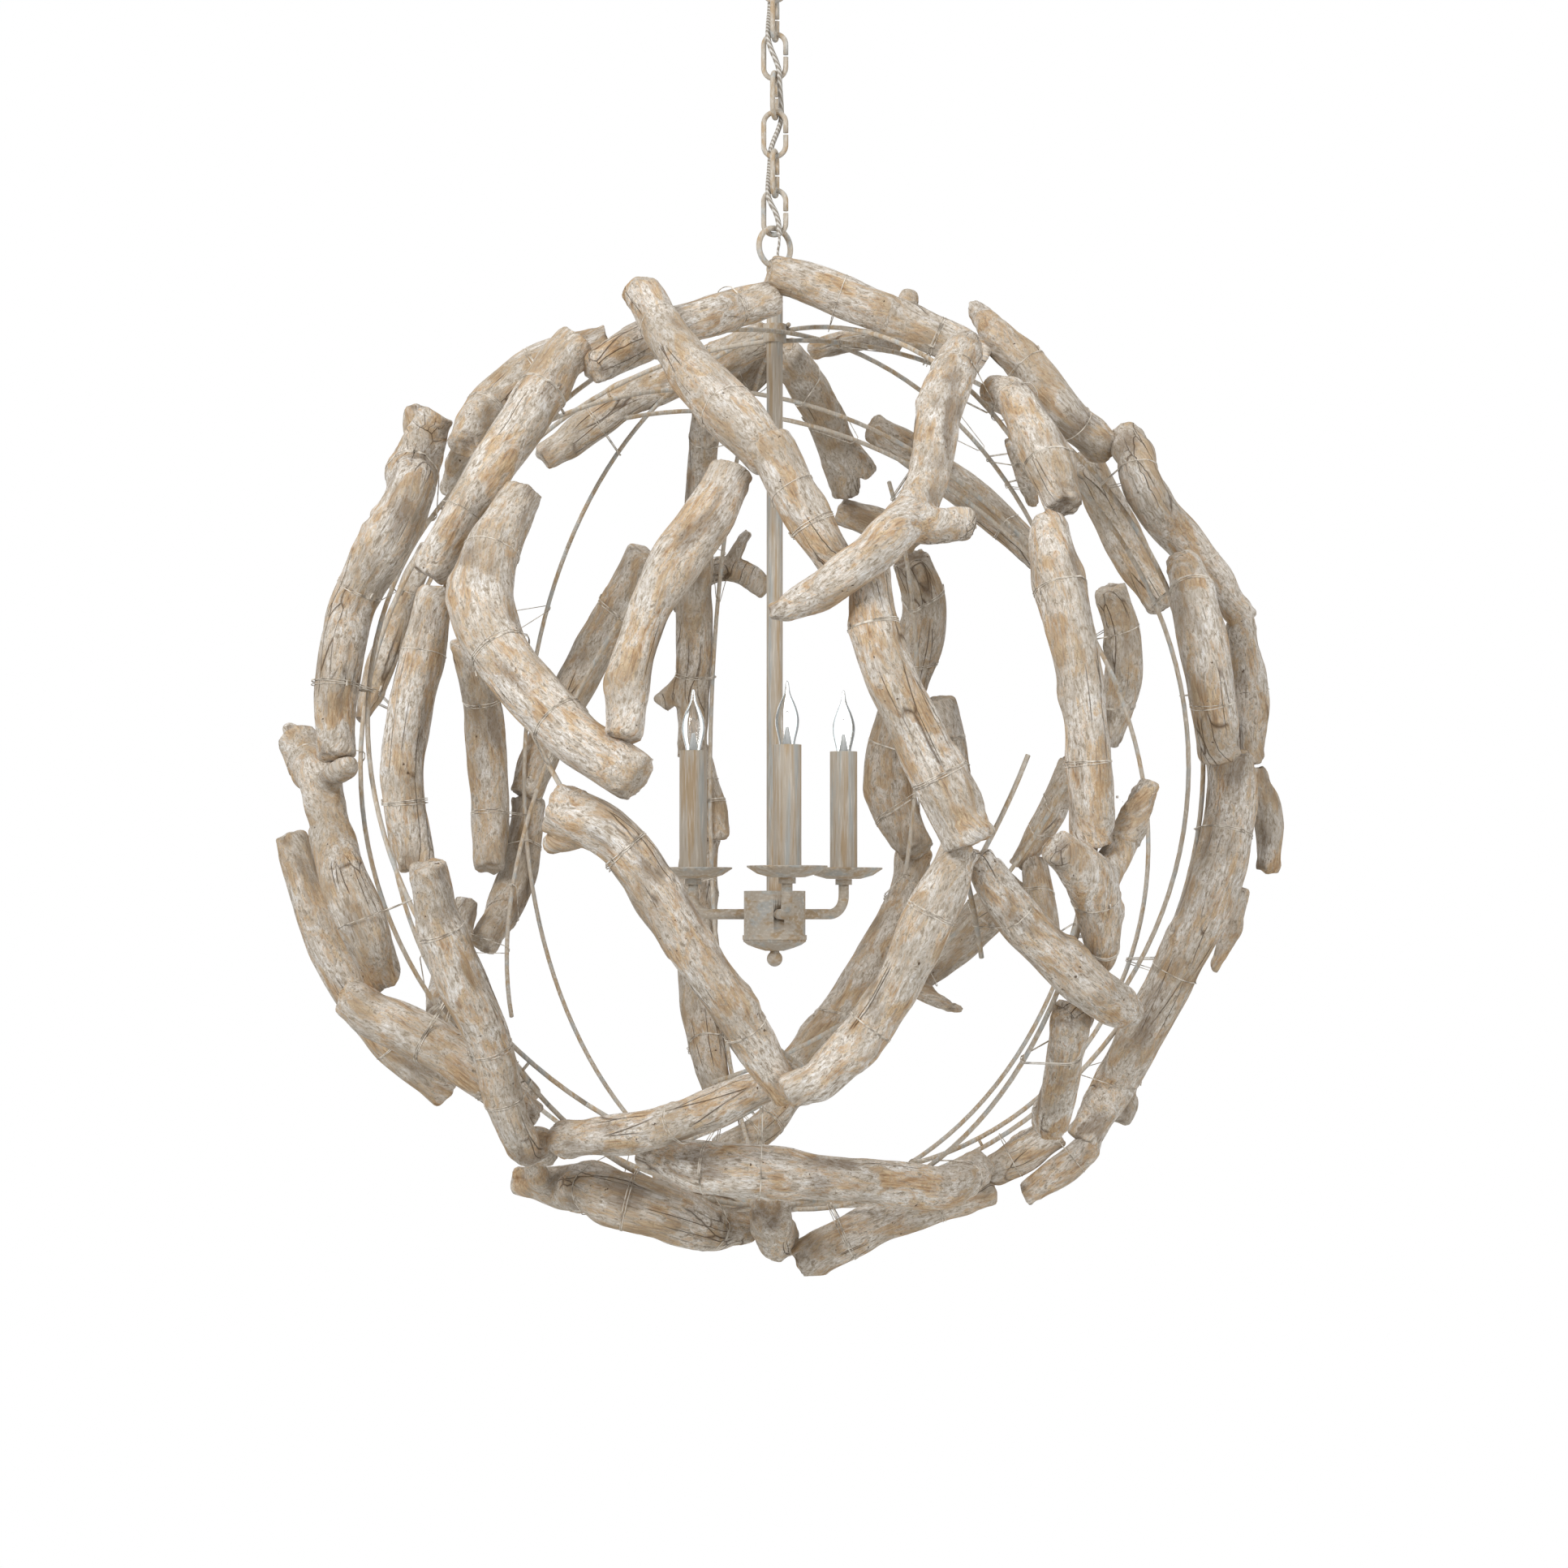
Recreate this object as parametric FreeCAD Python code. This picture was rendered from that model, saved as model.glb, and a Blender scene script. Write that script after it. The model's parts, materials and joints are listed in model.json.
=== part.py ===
import FreeCAD, Part
import math
import os
from FreeCAD import Vector, Placement, Rotation

# Orb chandelier: a welded rod ball dressed in driftwood, with a three-candle lamp inside.
# Millimetres, +Z up. The origin is the centre of the ceiling face, and all hangs below it.

# Fits
RUN_GAP = 0.3
THREAD_GAP = 0.05
OVERRUN = 1.0

# Canopy and its hardware
CANOPY_DIAMETER = 127.0
CANOPY_DEPTH = 26.0
CANOPY_WALL = 1.6
CANOPY_LIP = 4.0
STRAP_LENGTH = 104.0
STRAP_WIDTH = 22.0
STRAP_THICKNESS = 2.5
STRAP_HOLE_SPACING = 89.0
STRAP_SLOT_LENGTH = 12.0
STRAP_SLOT_DIAMETER = 4.5
NIPPLE_DIAMETER = 10.0
NIPPLE_BORE = 6.5
NIPPLE_LOCKNUT_WIDTH = 16.0
NIPPLE_LOCKNUT_DEPTH = 3.5
COLLAR_NUT_DIAMETER = 24.0
COLLAR_NUT_DEPTH = 6.0
LOOP_NECK_DIAMETER = 14.0
LOOP_NECK_LENGTH = 9.0
LOOP_WIRE = 5.0
LOOP_DIAMETER = 27.0
CORD_BUSHING_DIAMETER = 11.0
CORD_BUSHING_DEPTH = 7.0
CORD_BUSHING_OFFSET = 27.0

# Chain and ring
LINK_WIRE = 4.5
LINK_LENGTH = 43.5
LINK_WIDTH = 24.0
LINK_SEAM = 2.0
CHAIN_LINK_COUNT = 7
CHAIN_YAW_DEG = -11.0
RING_WIRE = 5.0
RING_DIAMETER = 38.5
RING_YAW_DEG = 36.0
RING_DROP_GAP = 0.9
CORD_DIAMETER = 4.6
CORD_OFFSET = 5.0
CORD_UPRIGHT = 6.0
CORD_HINGE_GAP = 4.4
CORD_END_UPRIGHT = 11.0
LEAD_DIAMETER = 2.2
LEAD_OFFSET = 4.4
LEAD_UPRIGHT = 8.0

# Stem and its eye
STEM_DIAMETER = 14.0
STEM_BORE = 10.0
EYE_DIAMETER = 15.0
EYE_HOLE = 8.6
EYE_HANG_GAP = 0.6
EYE_THICKNESS = 7.0
EYE_NECK_DIAMETER = 11.0
EYE_SHOULDER_LENGTH = 9.0
EYE_TO_STEM = 17.0
STEM_LENGTH = 523.5
TOP_COLLAR_DIAMETER = 20.0
TOP_COLLAR_LENGTH = 16.0

# Lamp
HUB_DIAMETER = 53.0
HUB_HEIGHT = 42.0
HUB_WALL = 2.0
HUB_LIP_HEIGHT = 4.0
HUB_LIP_OVERHANG = 1.2
HUB_CAP_DEPTH = 9.5
HUB_CAP_FOOT_DIAMETER = 16.0
FINIAL_DIAMETER = 13.5
FINIAL_NECK_DIAMETER = 8.0
ARM_COUNT = 3
ARM_TUBE = 9.0
ARM_RADIUS = 76.6
ARM_BEND_RADIUS = 16.0
ARM_DROP_IN_HUB = 20.0
ARM_FIRST_AZIMUTH_DEG = -82.1
PAN_DIAMETER = 68.0
PAN_DEPTH = 8.5
PAN_WALL = 1.2
PAN_FLOOR_DIAMETER = 30.0
PAN_BASE_RISE = 31.0
RING_NUT_DIAMETER = 14.5
RING_NUT_DEPTH = 5.0
SLEEVE_DIAMETER = 24.0
SLEEVE_WALL = 1.2
SLEEVE_LENGTH = 110.0
SOCKET_DIAMETER = 20.0
SOCKET_LENGTH = 34.0
SOCKET_RECESS = 3.0
SOCKET_POST_DIAMETER = 9.0
BULB_BASE_DIAMETER = 12.0
BULB_BASE_LENGTH = 19.0
BULB_SOCKET_WALL_GAP = 0.5
BULB_HEIGHT = 57.0
BULB_DIAMETER = 20.0
BULB_NECK_DIAMETER = 13.6
BULB_TIP_DIAMETER = 2.4

# Ball frame
FRAME_RADIUS = 372.0
FRAME_ROD = 4.0
FRAME_CENTRE_BELOW_STEM_TOP = 416.5
ROD_SECTOR_DEG = 28.0
ROD_WELD_GAP = 0.25
WELD_POST_DIAMETER = 2.6
WELD_POST_REACH = 9.5
WELD_POST_END_GAP = 0.1

# Driftwood and the wire that binds it
WOOD_GAP = 0.7
WOOD_ROD_GAP = 0.6
WOOD_STATION = 21.0
WOOD_SLACK = 0.5
WOOD_CLIMB_SHARE = 0.4
BINDING_WIRE = 1.4
BINDING_GAP = 0.5
BINDING_HELD_GAP = 0.3
BINDING_SLIDE = 4.0
BINDING_TURN_COST = 40.0
BINDING_CLEAR = 1.8
BINDING_REACH = 34.0
BINDING_CLOSE = 0.5
BINDING_LONG_REACH = 84.0
BINDING_DRIFT_SHARE = 0.3
BINDING_SLIP_SHARE = 1.02
BINDING_LONG_SLIDE = 10.0
LINED_UP_SHARE = 0.4
FRONT_LOOPS_SHARE = 0.66
CROSSED_SHARE = 0.12
LONGEST_BEND_SHARE = 0.45
LOFT_SPLITS = 4
TWO_WRAPS_COUNT = 21
THREE_WRAPS_COUNT = 57
SHORT_WRAP_SHARES = (0.3, 0.7)
LONG_WRAP_SHARES = (0.2, 0.8)
LONGEST_WRAP_SHARES = (0.14, 0.5, 0.86)
BETWEEN_SHARES = (0.25, 0.5, 0.75)
WELD_TOUCH = 0.5

# Where the photograph was taken from, and what its pixels mean on the stem's plane
FRAME_RADIUS_PX = 531.4
AXIS_X_PX = 954.5
BALL_CENTRE_Y_PX = 945.0
EYE_LEVEL_Y_PX = 1130.0
CAMERA_DISTANCE_SHARE = 8.065

# Heights that follow from the sizes above
MM_PER_PX = FRAME_RADIUS / FRAME_RADIUS_PX
ROD_PITCH = FRAME_ROD + ROD_WELD_GAP
LOOP_RADIUS = (LOOP_DIAMETER - LOOP_WIRE) / 2
LOOP_Z = -(CANOPY_DEPTH + COLLAR_NUT_DEPTH + LOOP_NECK_LENGTH + LOOP_RADIUS)
LOOP_LOW_Z = LOOP_Z - LOOP_RADIUS
LINK_HALF = (LINK_LENGTH - LINK_WIRE) / 2
LINK_PITCH = LINK_LENGTH - 2 * LINK_WIRE - RUN_GAP
TOP_LINK_Z = LOOP_LOW_Z + (LOOP_WIRE + LINK_WIRE) / 2 + RUN_GAP - LINK_HALF
TOP_LINK_LOW_Z = TOP_LINK_Z - LINK_HALF
LAST_LINK_Z = TOP_LINK_Z - CHAIN_LINK_COUNT * LINK_PITCH
LAST_LINK_LOW_Z = LAST_LINK_Z - LINK_HALF
RING_RADIUS = (RING_DIAMETER - RING_WIRE) / 2
RING_Z = LAST_LINK_LOW_Z + (LINK_WIRE + RING_WIRE) / 2 + RING_DROP_GAP - RING_RADIUS
RING_LOW_Z = RING_Z - RING_RADIUS
EYE_HOLE_Z = RING_LOW_Z - (EYE_HOLE - RING_WIRE) / 2 + EYE_HANG_GAP
STEM_TOP_Z = EYE_HOLE_Z - EYE_TO_STEM
BALL_Z = STEM_TOP_Z - FRAME_CENTRE_BELOW_STEM_TOP
HUB_TOP_Z = STEM_TOP_Z - STEM_LENGTH
HUB_LOW_Z = HUB_TOP_Z - HUB_HEIGHT
ARM_Z = HUB_TOP_Z - ARM_DROP_IN_HUB
PAN_BASE_Z = ARM_Z + PAN_BASE_RISE
SLEEVE_LOW_Z = PAN_BASE_Z + PAN_WALL + RUN_GAP
SLEEVE_TOP_Z = SLEEVE_LOW_Z + SLEEVE_LENGTH
SOCKET_TOP_Z = SLEEVE_TOP_Z - SOCKET_RECESS
BALL_CENTRE = Vector(0, 0, BALL_Z)
CAMERA_DISTANCE = FRAME_RADIUS * CAMERA_DISTANCE_SHARE
CAMERA_Z = BALL_Z + (BALL_CENTRE_Y_PX - EYE_LEVEL_Y_PX) * MM_PER_PX
CAMERA_EYE = Vector(0, -CAMERA_DISTANCE, CAMERA_Z)
UP = Vector(0, 0, 1)


def save(name, shape):
    shape.exportStep("parts/" + name + ".step")
    print(name, len(shape.Solids), "solids", round(shape.Volume), "mm3", shape.isValid())


def group(shapes):
    return Part.makeCompound(shapes)


def rod_along_z(diameter, low, high, x=0, y=0):
    return Part.makeCylinder(diameter / 2, high - low, Vector(x, y, low))


def tube_along_z(outer, bore, low, high):
    return rod_along_z(outer, low, high).cut(rod_along_z(bore, low - OVERRUN, high + OVERRUN))


def revolve_profile(points):
    # A closed outline of (radius, height) pairs turned about the Z axis.
    corners = [Vector(radius, 0, height) for radius, height in points]
    outline = Part.makePolygon(corners + corners[:1])
    return Part.Face(outline).revolve(Vector(0, 0, 0), UP, 360)


def around_axis(shape, angle_deg):
    turned = shape.copy()
    turned.rotate(Vector(0, 0, 0), UP, angle_deg)
    return turned


def at_arm(shape, index):
    moved = shape.copy()
    moved.translate(Vector(ARM_RADIUS, 0, 0))
    return around_axis(moved, ARM_FIRST_AZIMUTH_DEG + index * 360 / ARM_COUNT)


def swept(wire_path, diameter):
    # A round section pushed along a path of lines and arcs.
    start = wire_path.OrderedEdges[0]
    point = start.valueAt(start.FirstParameter)
    direction = start.tangentAt(start.FirstParameter)
    if start.Orientation == "Reversed":
        point = start.valueAt(start.LastParameter)
        direction = start.tangentAt(start.LastParameter) * -1
    section = Part.Wire([Part.makeCircle(diameter / 2, point, direction)])
    pipe = Part.BRepOffsetAPI.MakePipeShell(wire_path)
    pipe.add(section)
    pipe.build()
    pipe.makeSolid()
    return pipe.shape()


def rounded_path(points, bend_radii):
    # Straight runs joined by tangent arcs, one radius for each inner corner.
    edges = []
    start = points[0]
    for index in range(1, len(points) - 1):
        corner = points[index]
        back = (points[index - 1] - corner).normalize()
        ahead = (points[index + 1] - corner).normalize()
        half_angle = back.getAngle(ahead) / 2
        reach = bend_radii[index - 1] / math.tan(half_angle)
        bisector = (back + ahead).normalize()
        centre = corner + bisector * (bend_radii[index - 1] / math.sin(half_angle))
        arc_start = corner + back * reach
        arc_end = corner + ahead * reach
        middle = centre - bisector * bend_radii[index - 1]
        if (arc_start - start).Length > THREAD_GAP:
            edges.append(Part.makeLine(start, arc_start))
        edges.append(Part.Arc(arc_start, middle, arc_end).toShape())
        start = arc_end
    edges.append(Part.makeLine(start, points[-1]))
    return Part.Wire(edges)


def widest_radii(points):
    # The largest arc that both runs at each corner leave room for.
    radii = []
    for index in range(1, len(points) - 1):
        before = points[index] - points[index - 1]
        after = points[index + 1] - points[index]
        turn = before.getAngle(after)
        radii.append(LONGEST_BEND_SHARE * min(before.Length, after.Length) / math.tan(turn / 2))
    return radii


# Canopy, strap and loop

def make_canopy():
    outer = CANOPY_DIAMETER / 2
    hole = NIPPLE_DIAMETER / 2 + RUN_GAP
    dome = [(outer, 0), (outer, -CANOPY_LIP), (outer * 0.93, -CANOPY_LIP - CANOPY_WALL),
            (outer * 0.74, -CANOPY_DEPTH * 0.62), (outer * 0.45, -CANOPY_DEPTH * 0.91),
            (outer * 0.3, -CANOPY_DEPTH), (hole, -CANOPY_DEPTH)]
    inside = [(hole, -CANOPY_DEPTH + CANOPY_WALL), (outer * 0.3, -CANOPY_DEPTH + CANOPY_WALL),
              (outer * 0.45 - CANOPY_WALL * 0.3, -CANOPY_DEPTH * 0.91 + CANOPY_WALL),
              (outer * 0.74 - CANOPY_WALL * 0.8, -CANOPY_DEPTH * 0.62 + CANOPY_WALL * 0.7),
              (outer * 0.93 - CANOPY_WALL, -CANOPY_LIP), (outer - CANOPY_WALL, -CANOPY_LIP),
              (outer - CANOPY_WALL, 0)]
    shell = revolve_profile(dome + inside)
    bushing = rod_along_z(CORD_BUSHING_DIAMETER + 2 * RUN_GAP, -CANOPY_DEPTH - OVERRUN, -CANOPY_LIP,
                          CORD_BUSHING_OFFSET)
    return shell.cut(bushing)


def make_cord_bushing():
    # A headed sleeve that lines the cord's hole in the canopy.
    head_z = -CANOPY_DEPTH - RUN_GAP
    body = rod_along_z(CORD_BUSHING_DIAMETER, head_z, head_z + CORD_BUSHING_DEPTH,
                       CORD_BUSHING_OFFSET)
    head = rod_along_z(CORD_BUSHING_DIAMETER + 2 * CANOPY_WALL + 2 * RUN_GAP, head_z - CANOPY_WALL,
                       head_z, CORD_BUSHING_OFFSET)
    bore = rod_along_z(CORD_DIAMETER + 2 * RUN_GAP, head_z - CANOPY_WALL - OVERRUN,
                       head_z + CORD_BUSHING_DEPTH + OVERRUN, CORD_BUSHING_OFFSET)
    return body.fuse(head).cut(bore)


def make_mounting_strap():
    half = STRAP_LENGTH / 2
    strap = Part.makeBox(STRAP_LENGTH, STRAP_WIDTH, STRAP_THICKNESS,
                         Vector(-half, -STRAP_WIDTH / 2, -STRAP_THICKNESS))
    for side in (-1, 1):
        middle = side * STRAP_HOLE_SPACING / 2
        run = STRAP_SLOT_LENGTH - STRAP_SLOT_DIAMETER
        slot = Part.makeBox(run, STRAP_SLOT_DIAMETER, STRAP_THICKNESS + 2 * OVERRUN,
                            Vector(middle - run / 2, -STRAP_SLOT_DIAMETER / 2, -STRAP_THICKNESS - OVERRUN))
        for end in (-1, 1):
            slot = slot.fuse(rod_along_z(STRAP_SLOT_DIAMETER, -STRAP_THICKNESS - OVERRUN, OVERRUN,
                                         middle + end * run / 2))
        strap = strap.cut(slot)
    nipple = rod_along_z(NIPPLE_DIAMETER + 2 * THREAD_GAP, -STRAP_THICKNESS - OVERRUN, OVERRUN)
    return strap.cut(nipple)


def hexagon(width, low, high, bore):
    corner = width / 2 / math.cos(math.pi / 6)
    points = [Vector(corner * math.cos(math.pi * k / 3), corner * math.sin(math.pi * k / 3), low)
              for k in range(6)]
    prism = Part.Face(Part.makePolygon(points + points[:1])).extrude(UP * (high - low))
    return prism.cut(rod_along_z(bore, low - OVERRUN, high + OVERRUN))


def make_nipple():
    low = -CANOPY_DEPTH - COLLAR_NUT_DEPTH - LOOP_NECK_LENGTH / 2
    return tube_along_z(NIPPLE_DIAMETER, NIPPLE_BORE, low, 0)


def make_locknut():
    top = -STRAP_THICKNESS - THREAD_GAP
    return hexagon(NIPPLE_LOCKNUT_WIDTH, top - NIPPLE_LOCKNUT_DEPTH, top,
                   NIPPLE_DIAMETER + 2 * THREAD_GAP)


def make_collar_nut():
    top = -CANOPY_DEPTH - THREAD_GAP
    low = top - COLLAR_NUT_DEPTH + 2 * THREAD_GAP
    nut = tube_along_z(COLLAR_NUT_DIAMETER, NIPPLE_DIAMETER + 2 * THREAD_GAP, low, top)
    return nut.makeFillet(COLLAR_NUT_DEPTH / 4, [nut.Edges[0]])


def make_canopy_loop():
    top = -CANOPY_DEPTH - COLLAR_NUT_DEPTH
    low = LOOP_Z + LOOP_RADIUS - LOOP_WIRE / 2
    neck = rod_along_z(LOOP_NECK_DIAMETER, low, top)
    eye = Part.makeTorus(LOOP_RADIUS, LOOP_WIRE / 2, Vector(0, 0, LOOP_Z), Vector(0, 1, 0))
    bore = rod_along_z(NIPPLE_DIAMETER + 2 * THREAD_GAP, top - LOOP_NECK_LENGTH / 2 - RUN_GAP, top + OVERRUN)
    inside = Part.makeCylinder(LOOP_RADIUS - LOOP_WIRE / 2, LOOP_NECK_DIAMETER * 2,
                               Vector(0, -LOOP_NECK_DIAMETER, LOOP_Z), Vector(0, 1, 0))
    return neck.cut(inside).fuse(eye).cut(bore).removeSplitter()


# Chain, ring and cord

def make_link(z, turn_deg):
    # An oval of round wire with an open seam in the middle of one long side.
    bend = (LINK_WIDTH - LINK_WIRE) / 2
    straight = LINK_HALF - bend
    seam = LINK_SEAM / 2
    top = Part.Arc(Vector(bend, 0, straight), Vector(0, 0, LINK_HALF), Vector(-bend, 0, straight))
    low = Part.Arc(Vector(-bend, 0, -straight), Vector(0, 0, -LINK_HALF), Vector(bend, 0, -straight))
    path = Part.Wire([Part.makeLine(Vector(bend, 0, seam), Vector(bend, 0, straight)), top.toShape(),
                      Part.makeLine(Vector(-bend, 0, straight), Vector(-bend, 0, -straight)),
                      low.toShape(), Part.makeLine(Vector(bend, 0, -straight), Vector(bend, 0, -seam))])
    link = swept(path, LINK_WIRE)
    link.translate(Vector(0, 0, z))
    return around_axis(link, turn_deg)


def make_chain_links():
    links = []
    for index in range(1, CHAIN_LINK_COUNT + 1):
        turn = 0 if index % 2 else 90
        links.append(make_link(TOP_LINK_Z - index * LINK_PITCH, CHAIN_YAW_DEG + turn))
    return group(links)


def make_ring():
    axis = Vector(-math.sin(math.radians(RING_YAW_DEG)), math.cos(math.radians(RING_YAW_DEG)), 0)
    return Part.makeTorus(RING_RADIUS, RING_WIRE / 2, Vector(0, 0, RING_Z), axis)


# Stem

def make_stem_eye():
    # A flat-cheeked eye on a stepped neck that screws into the stem.
    yaw = math.radians(RING_YAW_DEG)
    across = Vector(math.cos(yaw), math.sin(yaw), 0)
    start = across * (-EYE_THICKNESS / 2) + UP * EYE_HOLE_Z
    cheek = Part.makeCylinder(EYE_DIAMETER / 2, EYE_THICKNESS, start, across)
    neck_low = STEM_TOP_Z + EYE_SHOULDER_LENGTH
    neck = rod_along_z(EYE_NECK_DIAMETER, neck_low - OVERRUN, EYE_HOLE_Z - EYE_HOLE / 2)
    shoulder = Part.makeCone(STEM_DIAMETER / 2, EYE_NECK_DIAMETER / 2, EYE_SHOULDER_LENGTH,
                             Vector(0, 0, STEM_TOP_Z))
    spigot = rod_along_z(STEM_BORE - 2 * THREAD_GAP, STEM_TOP_Z - STEM_BORE, STEM_TOP_Z)
    hole = Part.makeCylinder(EYE_HOLE / 2, 3 * EYE_DIAMETER,
                             across * (-1.5 * EYE_DIAMETER) + UP * EYE_HOLE_Z, across)
    return cheek.fuse([neck, shoulder, spigot]).cut(hole).removeSplitter()


def make_stem():
    return tube_along_z(STEM_DIAMETER, STEM_BORE, HUB_TOP_Z - HUB_WALL * 2, STEM_TOP_Z - THREAD_GAP)


# Lamp

def make_hub():
    outer = HUB_DIAMETER / 2
    lip = outer + HUB_LIP_OVERHANG
    bore = STEM_DIAMETER / 2 + THREAD_GAP
    profile = [(bore, HUB_TOP_Z), (outer, HUB_TOP_Z), (outer, HUB_LOW_Z + HUB_LIP_HEIGHT),
               (lip, HUB_LOW_Z + HUB_LIP_HEIGHT), (lip, HUB_LOW_Z), (outer - HUB_WALL, HUB_LOW_Z),
               (outer - HUB_WALL, HUB_TOP_Z - HUB_WALL), (bore, HUB_TOP_Z - HUB_WALL)]
    hub = revolve_profile(profile)
    for index in range(ARM_COUNT):
        hole = Part.makeCylinder(ARM_TUBE / 2 + THREAD_GAP, 2 * HUB_WALL,
                                 Vector(outer - 1.5 * HUB_WALL, 0, ARM_Z), Vector(1, 0, 0))
        hub = hub.cut(around_axis(hole, ARM_FIRST_AZIMUTH_DEG + index * 360 / ARM_COUNT))
    return hub


def make_hub_cap():
    outer = HUB_DIAMETER / 2 + HUB_LIP_OVERHANG / 2
    top = HUB_LOW_Z - THREAD_GAP
    foot = HUB_CAP_FOOT_DIAMETER / 2
    low = top - HUB_CAP_DEPTH
    profile = [(0, top), (outer, top), (outer, top - HUB_CAP_DEPTH * 0.15),
               (outer * 0.86, top - HUB_CAP_DEPTH * 0.45), (outer * 0.62, top - HUB_CAP_DEPTH * 0.72),
               (foot, low), (0, low)]
    return revolve_profile(profile)


def make_finial():
    top = HUB_LOW_Z - HUB_CAP_DEPTH - 2 * THREAD_GAP
    centre = top - FINIAL_DIAMETER / 2
    ball = Part.makeSphere(FINIAL_DIAMETER / 2, Vector(0, 0, centre))
    neck = rod_along_z(FINIAL_NECK_DIAMETER, centre, top)
    return ball.fuse(neck).removeSplitter()


def make_arm():
    inner = HUB_DIAMETER / 2 - 2 * HUB_WALL
    top = PAN_BASE_Z - RUN_GAP
    points = [Vector(inner, 0, ARM_Z), Vector(ARM_RADIUS, 0, ARM_Z), Vector(ARM_RADIUS, 0, top)]
    return swept(rounded_path(points, [ARM_BEND_RADIUS]), ARM_TUBE)


def make_ring_nut():
    top = PAN_BASE_Z - RUN_GAP
    nut = tube_along_z(RING_NUT_DIAMETER, ARM_TUBE + 2 * THREAD_GAP, top - RING_NUT_DEPTH, top)
    return nut


def make_pan():
    outer = PAN_DIAMETER / 2
    floor = PAN_FLOOR_DIAMETER / 2
    hole = SOCKET_POST_DIAMETER / 2 + THREAD_GAP
    low = PAN_BASE_Z
    rim = PAN_BASE_Z + PAN_DEPTH
    profile = [(hole, low), (floor, low), (outer * 0.75, low + PAN_DEPTH * 0.35), (outer, rim),
               (outer, rim + PAN_WALL), (outer - PAN_WALL, rim + PAN_WALL),
               (outer * 0.75 - PAN_WALL * 0.4, low + PAN_DEPTH * 0.35 + PAN_WALL),
               (floor - PAN_WALL * 0.2, low + PAN_WALL), (hole, low + PAN_WALL)]
    return revolve_profile(profile)


def make_sleeve():
    return tube_along_z(SLEEVE_DIAMETER, SLEEVE_DIAMETER - 2 * SLEEVE_WALL, SLEEVE_LOW_Z, SLEEVE_TOP_Z)


def make_socket():
    # A cup for the bulb's base on a post that stands in the pan.
    low = SOCKET_TOP_Z - SOCKET_LENGTH
    cup = rod_along_z(SOCKET_DIAMETER, low, SOCKET_TOP_Z)
    post = rod_along_z(SOCKET_POST_DIAMETER, PAN_BASE_Z, low)
    bore = rod_along_z(BULB_BASE_DIAMETER + 2 * BULB_SOCKET_WALL_GAP,
                       SOCKET_TOP_Z - BULB_BASE_LENGTH - RUN_GAP, SOCKET_TOP_Z + OVERRUN)
    return cup.fuse(post).cut(bore).removeSplitter()


def make_bulb_base():
    low = SOCKET_TOP_Z - BULB_BASE_LENGTH
    tip = BULB_BASE_LENGTH * 0.2
    screw = rod_along_z(BULB_BASE_DIAMETER, low + tip, SOCKET_TOP_Z)
    return screw.fuse(Part.makeCone(BULB_BASE_DIAMETER / 5, BULB_BASE_DIAMETER / 2, tip,
                                    Vector(0, 0, low))).removeSplitter()


def make_bulb_glass():
    # A flame-tip bulb: narrow neck, full belly, drawn-out point.
    belly = BULB_DIAMETER / 2
    neck = BULB_NECK_DIAMETER / 2
    low = SOCKET_TOP_Z + THREAD_GAP
    shares = [(0.0, neck * 0.95), (0.12, neck * 1.05), (0.3, belly * 0.95), (0.42, belly),
              (0.56, belly * 0.86), (0.7, belly * 0.55), (0.82, belly * 0.27),
              (0.92, BULB_TIP_DIAMETER * 0.75), (0.98, BULB_TIP_DIAMETER * 0.5)]
    points = [(0, low)] + [(radius, low + share * BULB_HEIGHT) for share, radius in shares]
    outline = [Vector(radius, 0, height) for radius, height in points[1:]]
    curve = Part.BSplineCurve()
    curve.interpolate(outline)
    tip = Vector(0, 0, low + BULB_HEIGHT)
    edges = [Part.makeLine(Vector(0, 0, low), outline[0]), curve.toShape(),
             Part.makeLine(outline[-1], tip), Part.makeLine(tip, Vector(0, 0, low))]
    return Part.Face(Part.Wire(edges)).revolve(Vector(0, 0, 0), UP, 360)


# Ball frame: hoops of round rod, nested one rod apart so that each crosses over the next

# Hoops through the poles: the pixel that each passes at the ball's waist, its level outwards,
# and whether only the rear half is there.
POLAR_HOOPS_PX = [((1480, 930), 0, False), ((505, 930), 1, False), ((1345, 945), 2, False),
                  ((1077, 930), 3, True)]
# Tilted hoops lie inside the polar ones: two pixels on each, the side of the ball they lie on,
# the level inwards, and how far the rod runs before and past the first pixel, in degrees.
TILTED_HOOPS_PX = [((960, 1445), (1250, 1436), "near", 2, 0, 360),
                   ((850, 450), (1150, 935), "near", 1, -12, 96),
                   ((590, 700), (900, 1240), "near", 3, -18, 88),
                   ((1200, 1070), (960, 1345), "near", 4, -16, 72),
                   ((735, 810), (640, 1050), "far", 3, -34, 62),
                   ((1100, 560), (1280, 695), "far", 4, -42, 50),
                   ((1300, 990), (1090, 1225), "far", 3, -18, 70),
                   ((1125, 745), (1108, 1120), "far", 3, -22, 42),
                   ((442, 850), (462, 1120), "near", 4, -48, 52),
                   ((1468, 850), (1452, 1120), "far", 4, -44, 48)]


def pixel_on_ball(x_px, y_px, radius, side):
    # Where the line of sight through a pixel meets a ball round the frame's centre.
    seen = Vector((x_px - AXIS_X_PX) * MM_PER_PX, 0, BALL_Z + (BALL_CENTRE_Y_PX - y_px) * MM_PER_PX)
    sight = (seen - CAMERA_EYE).normalize()
    offset = CAMERA_EYE - BALL_CENTRE
    middle = -offset.dot(sight)
    spare = middle * middle - offset.dot(offset) + radius * radius
    if spare <= 0:
        return CAMERA_EYE + sight * middle
    reach = math.sqrt(spare)
    return CAMERA_EYE + sight * (middle - reach if side == "near" else middle + reach)


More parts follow.
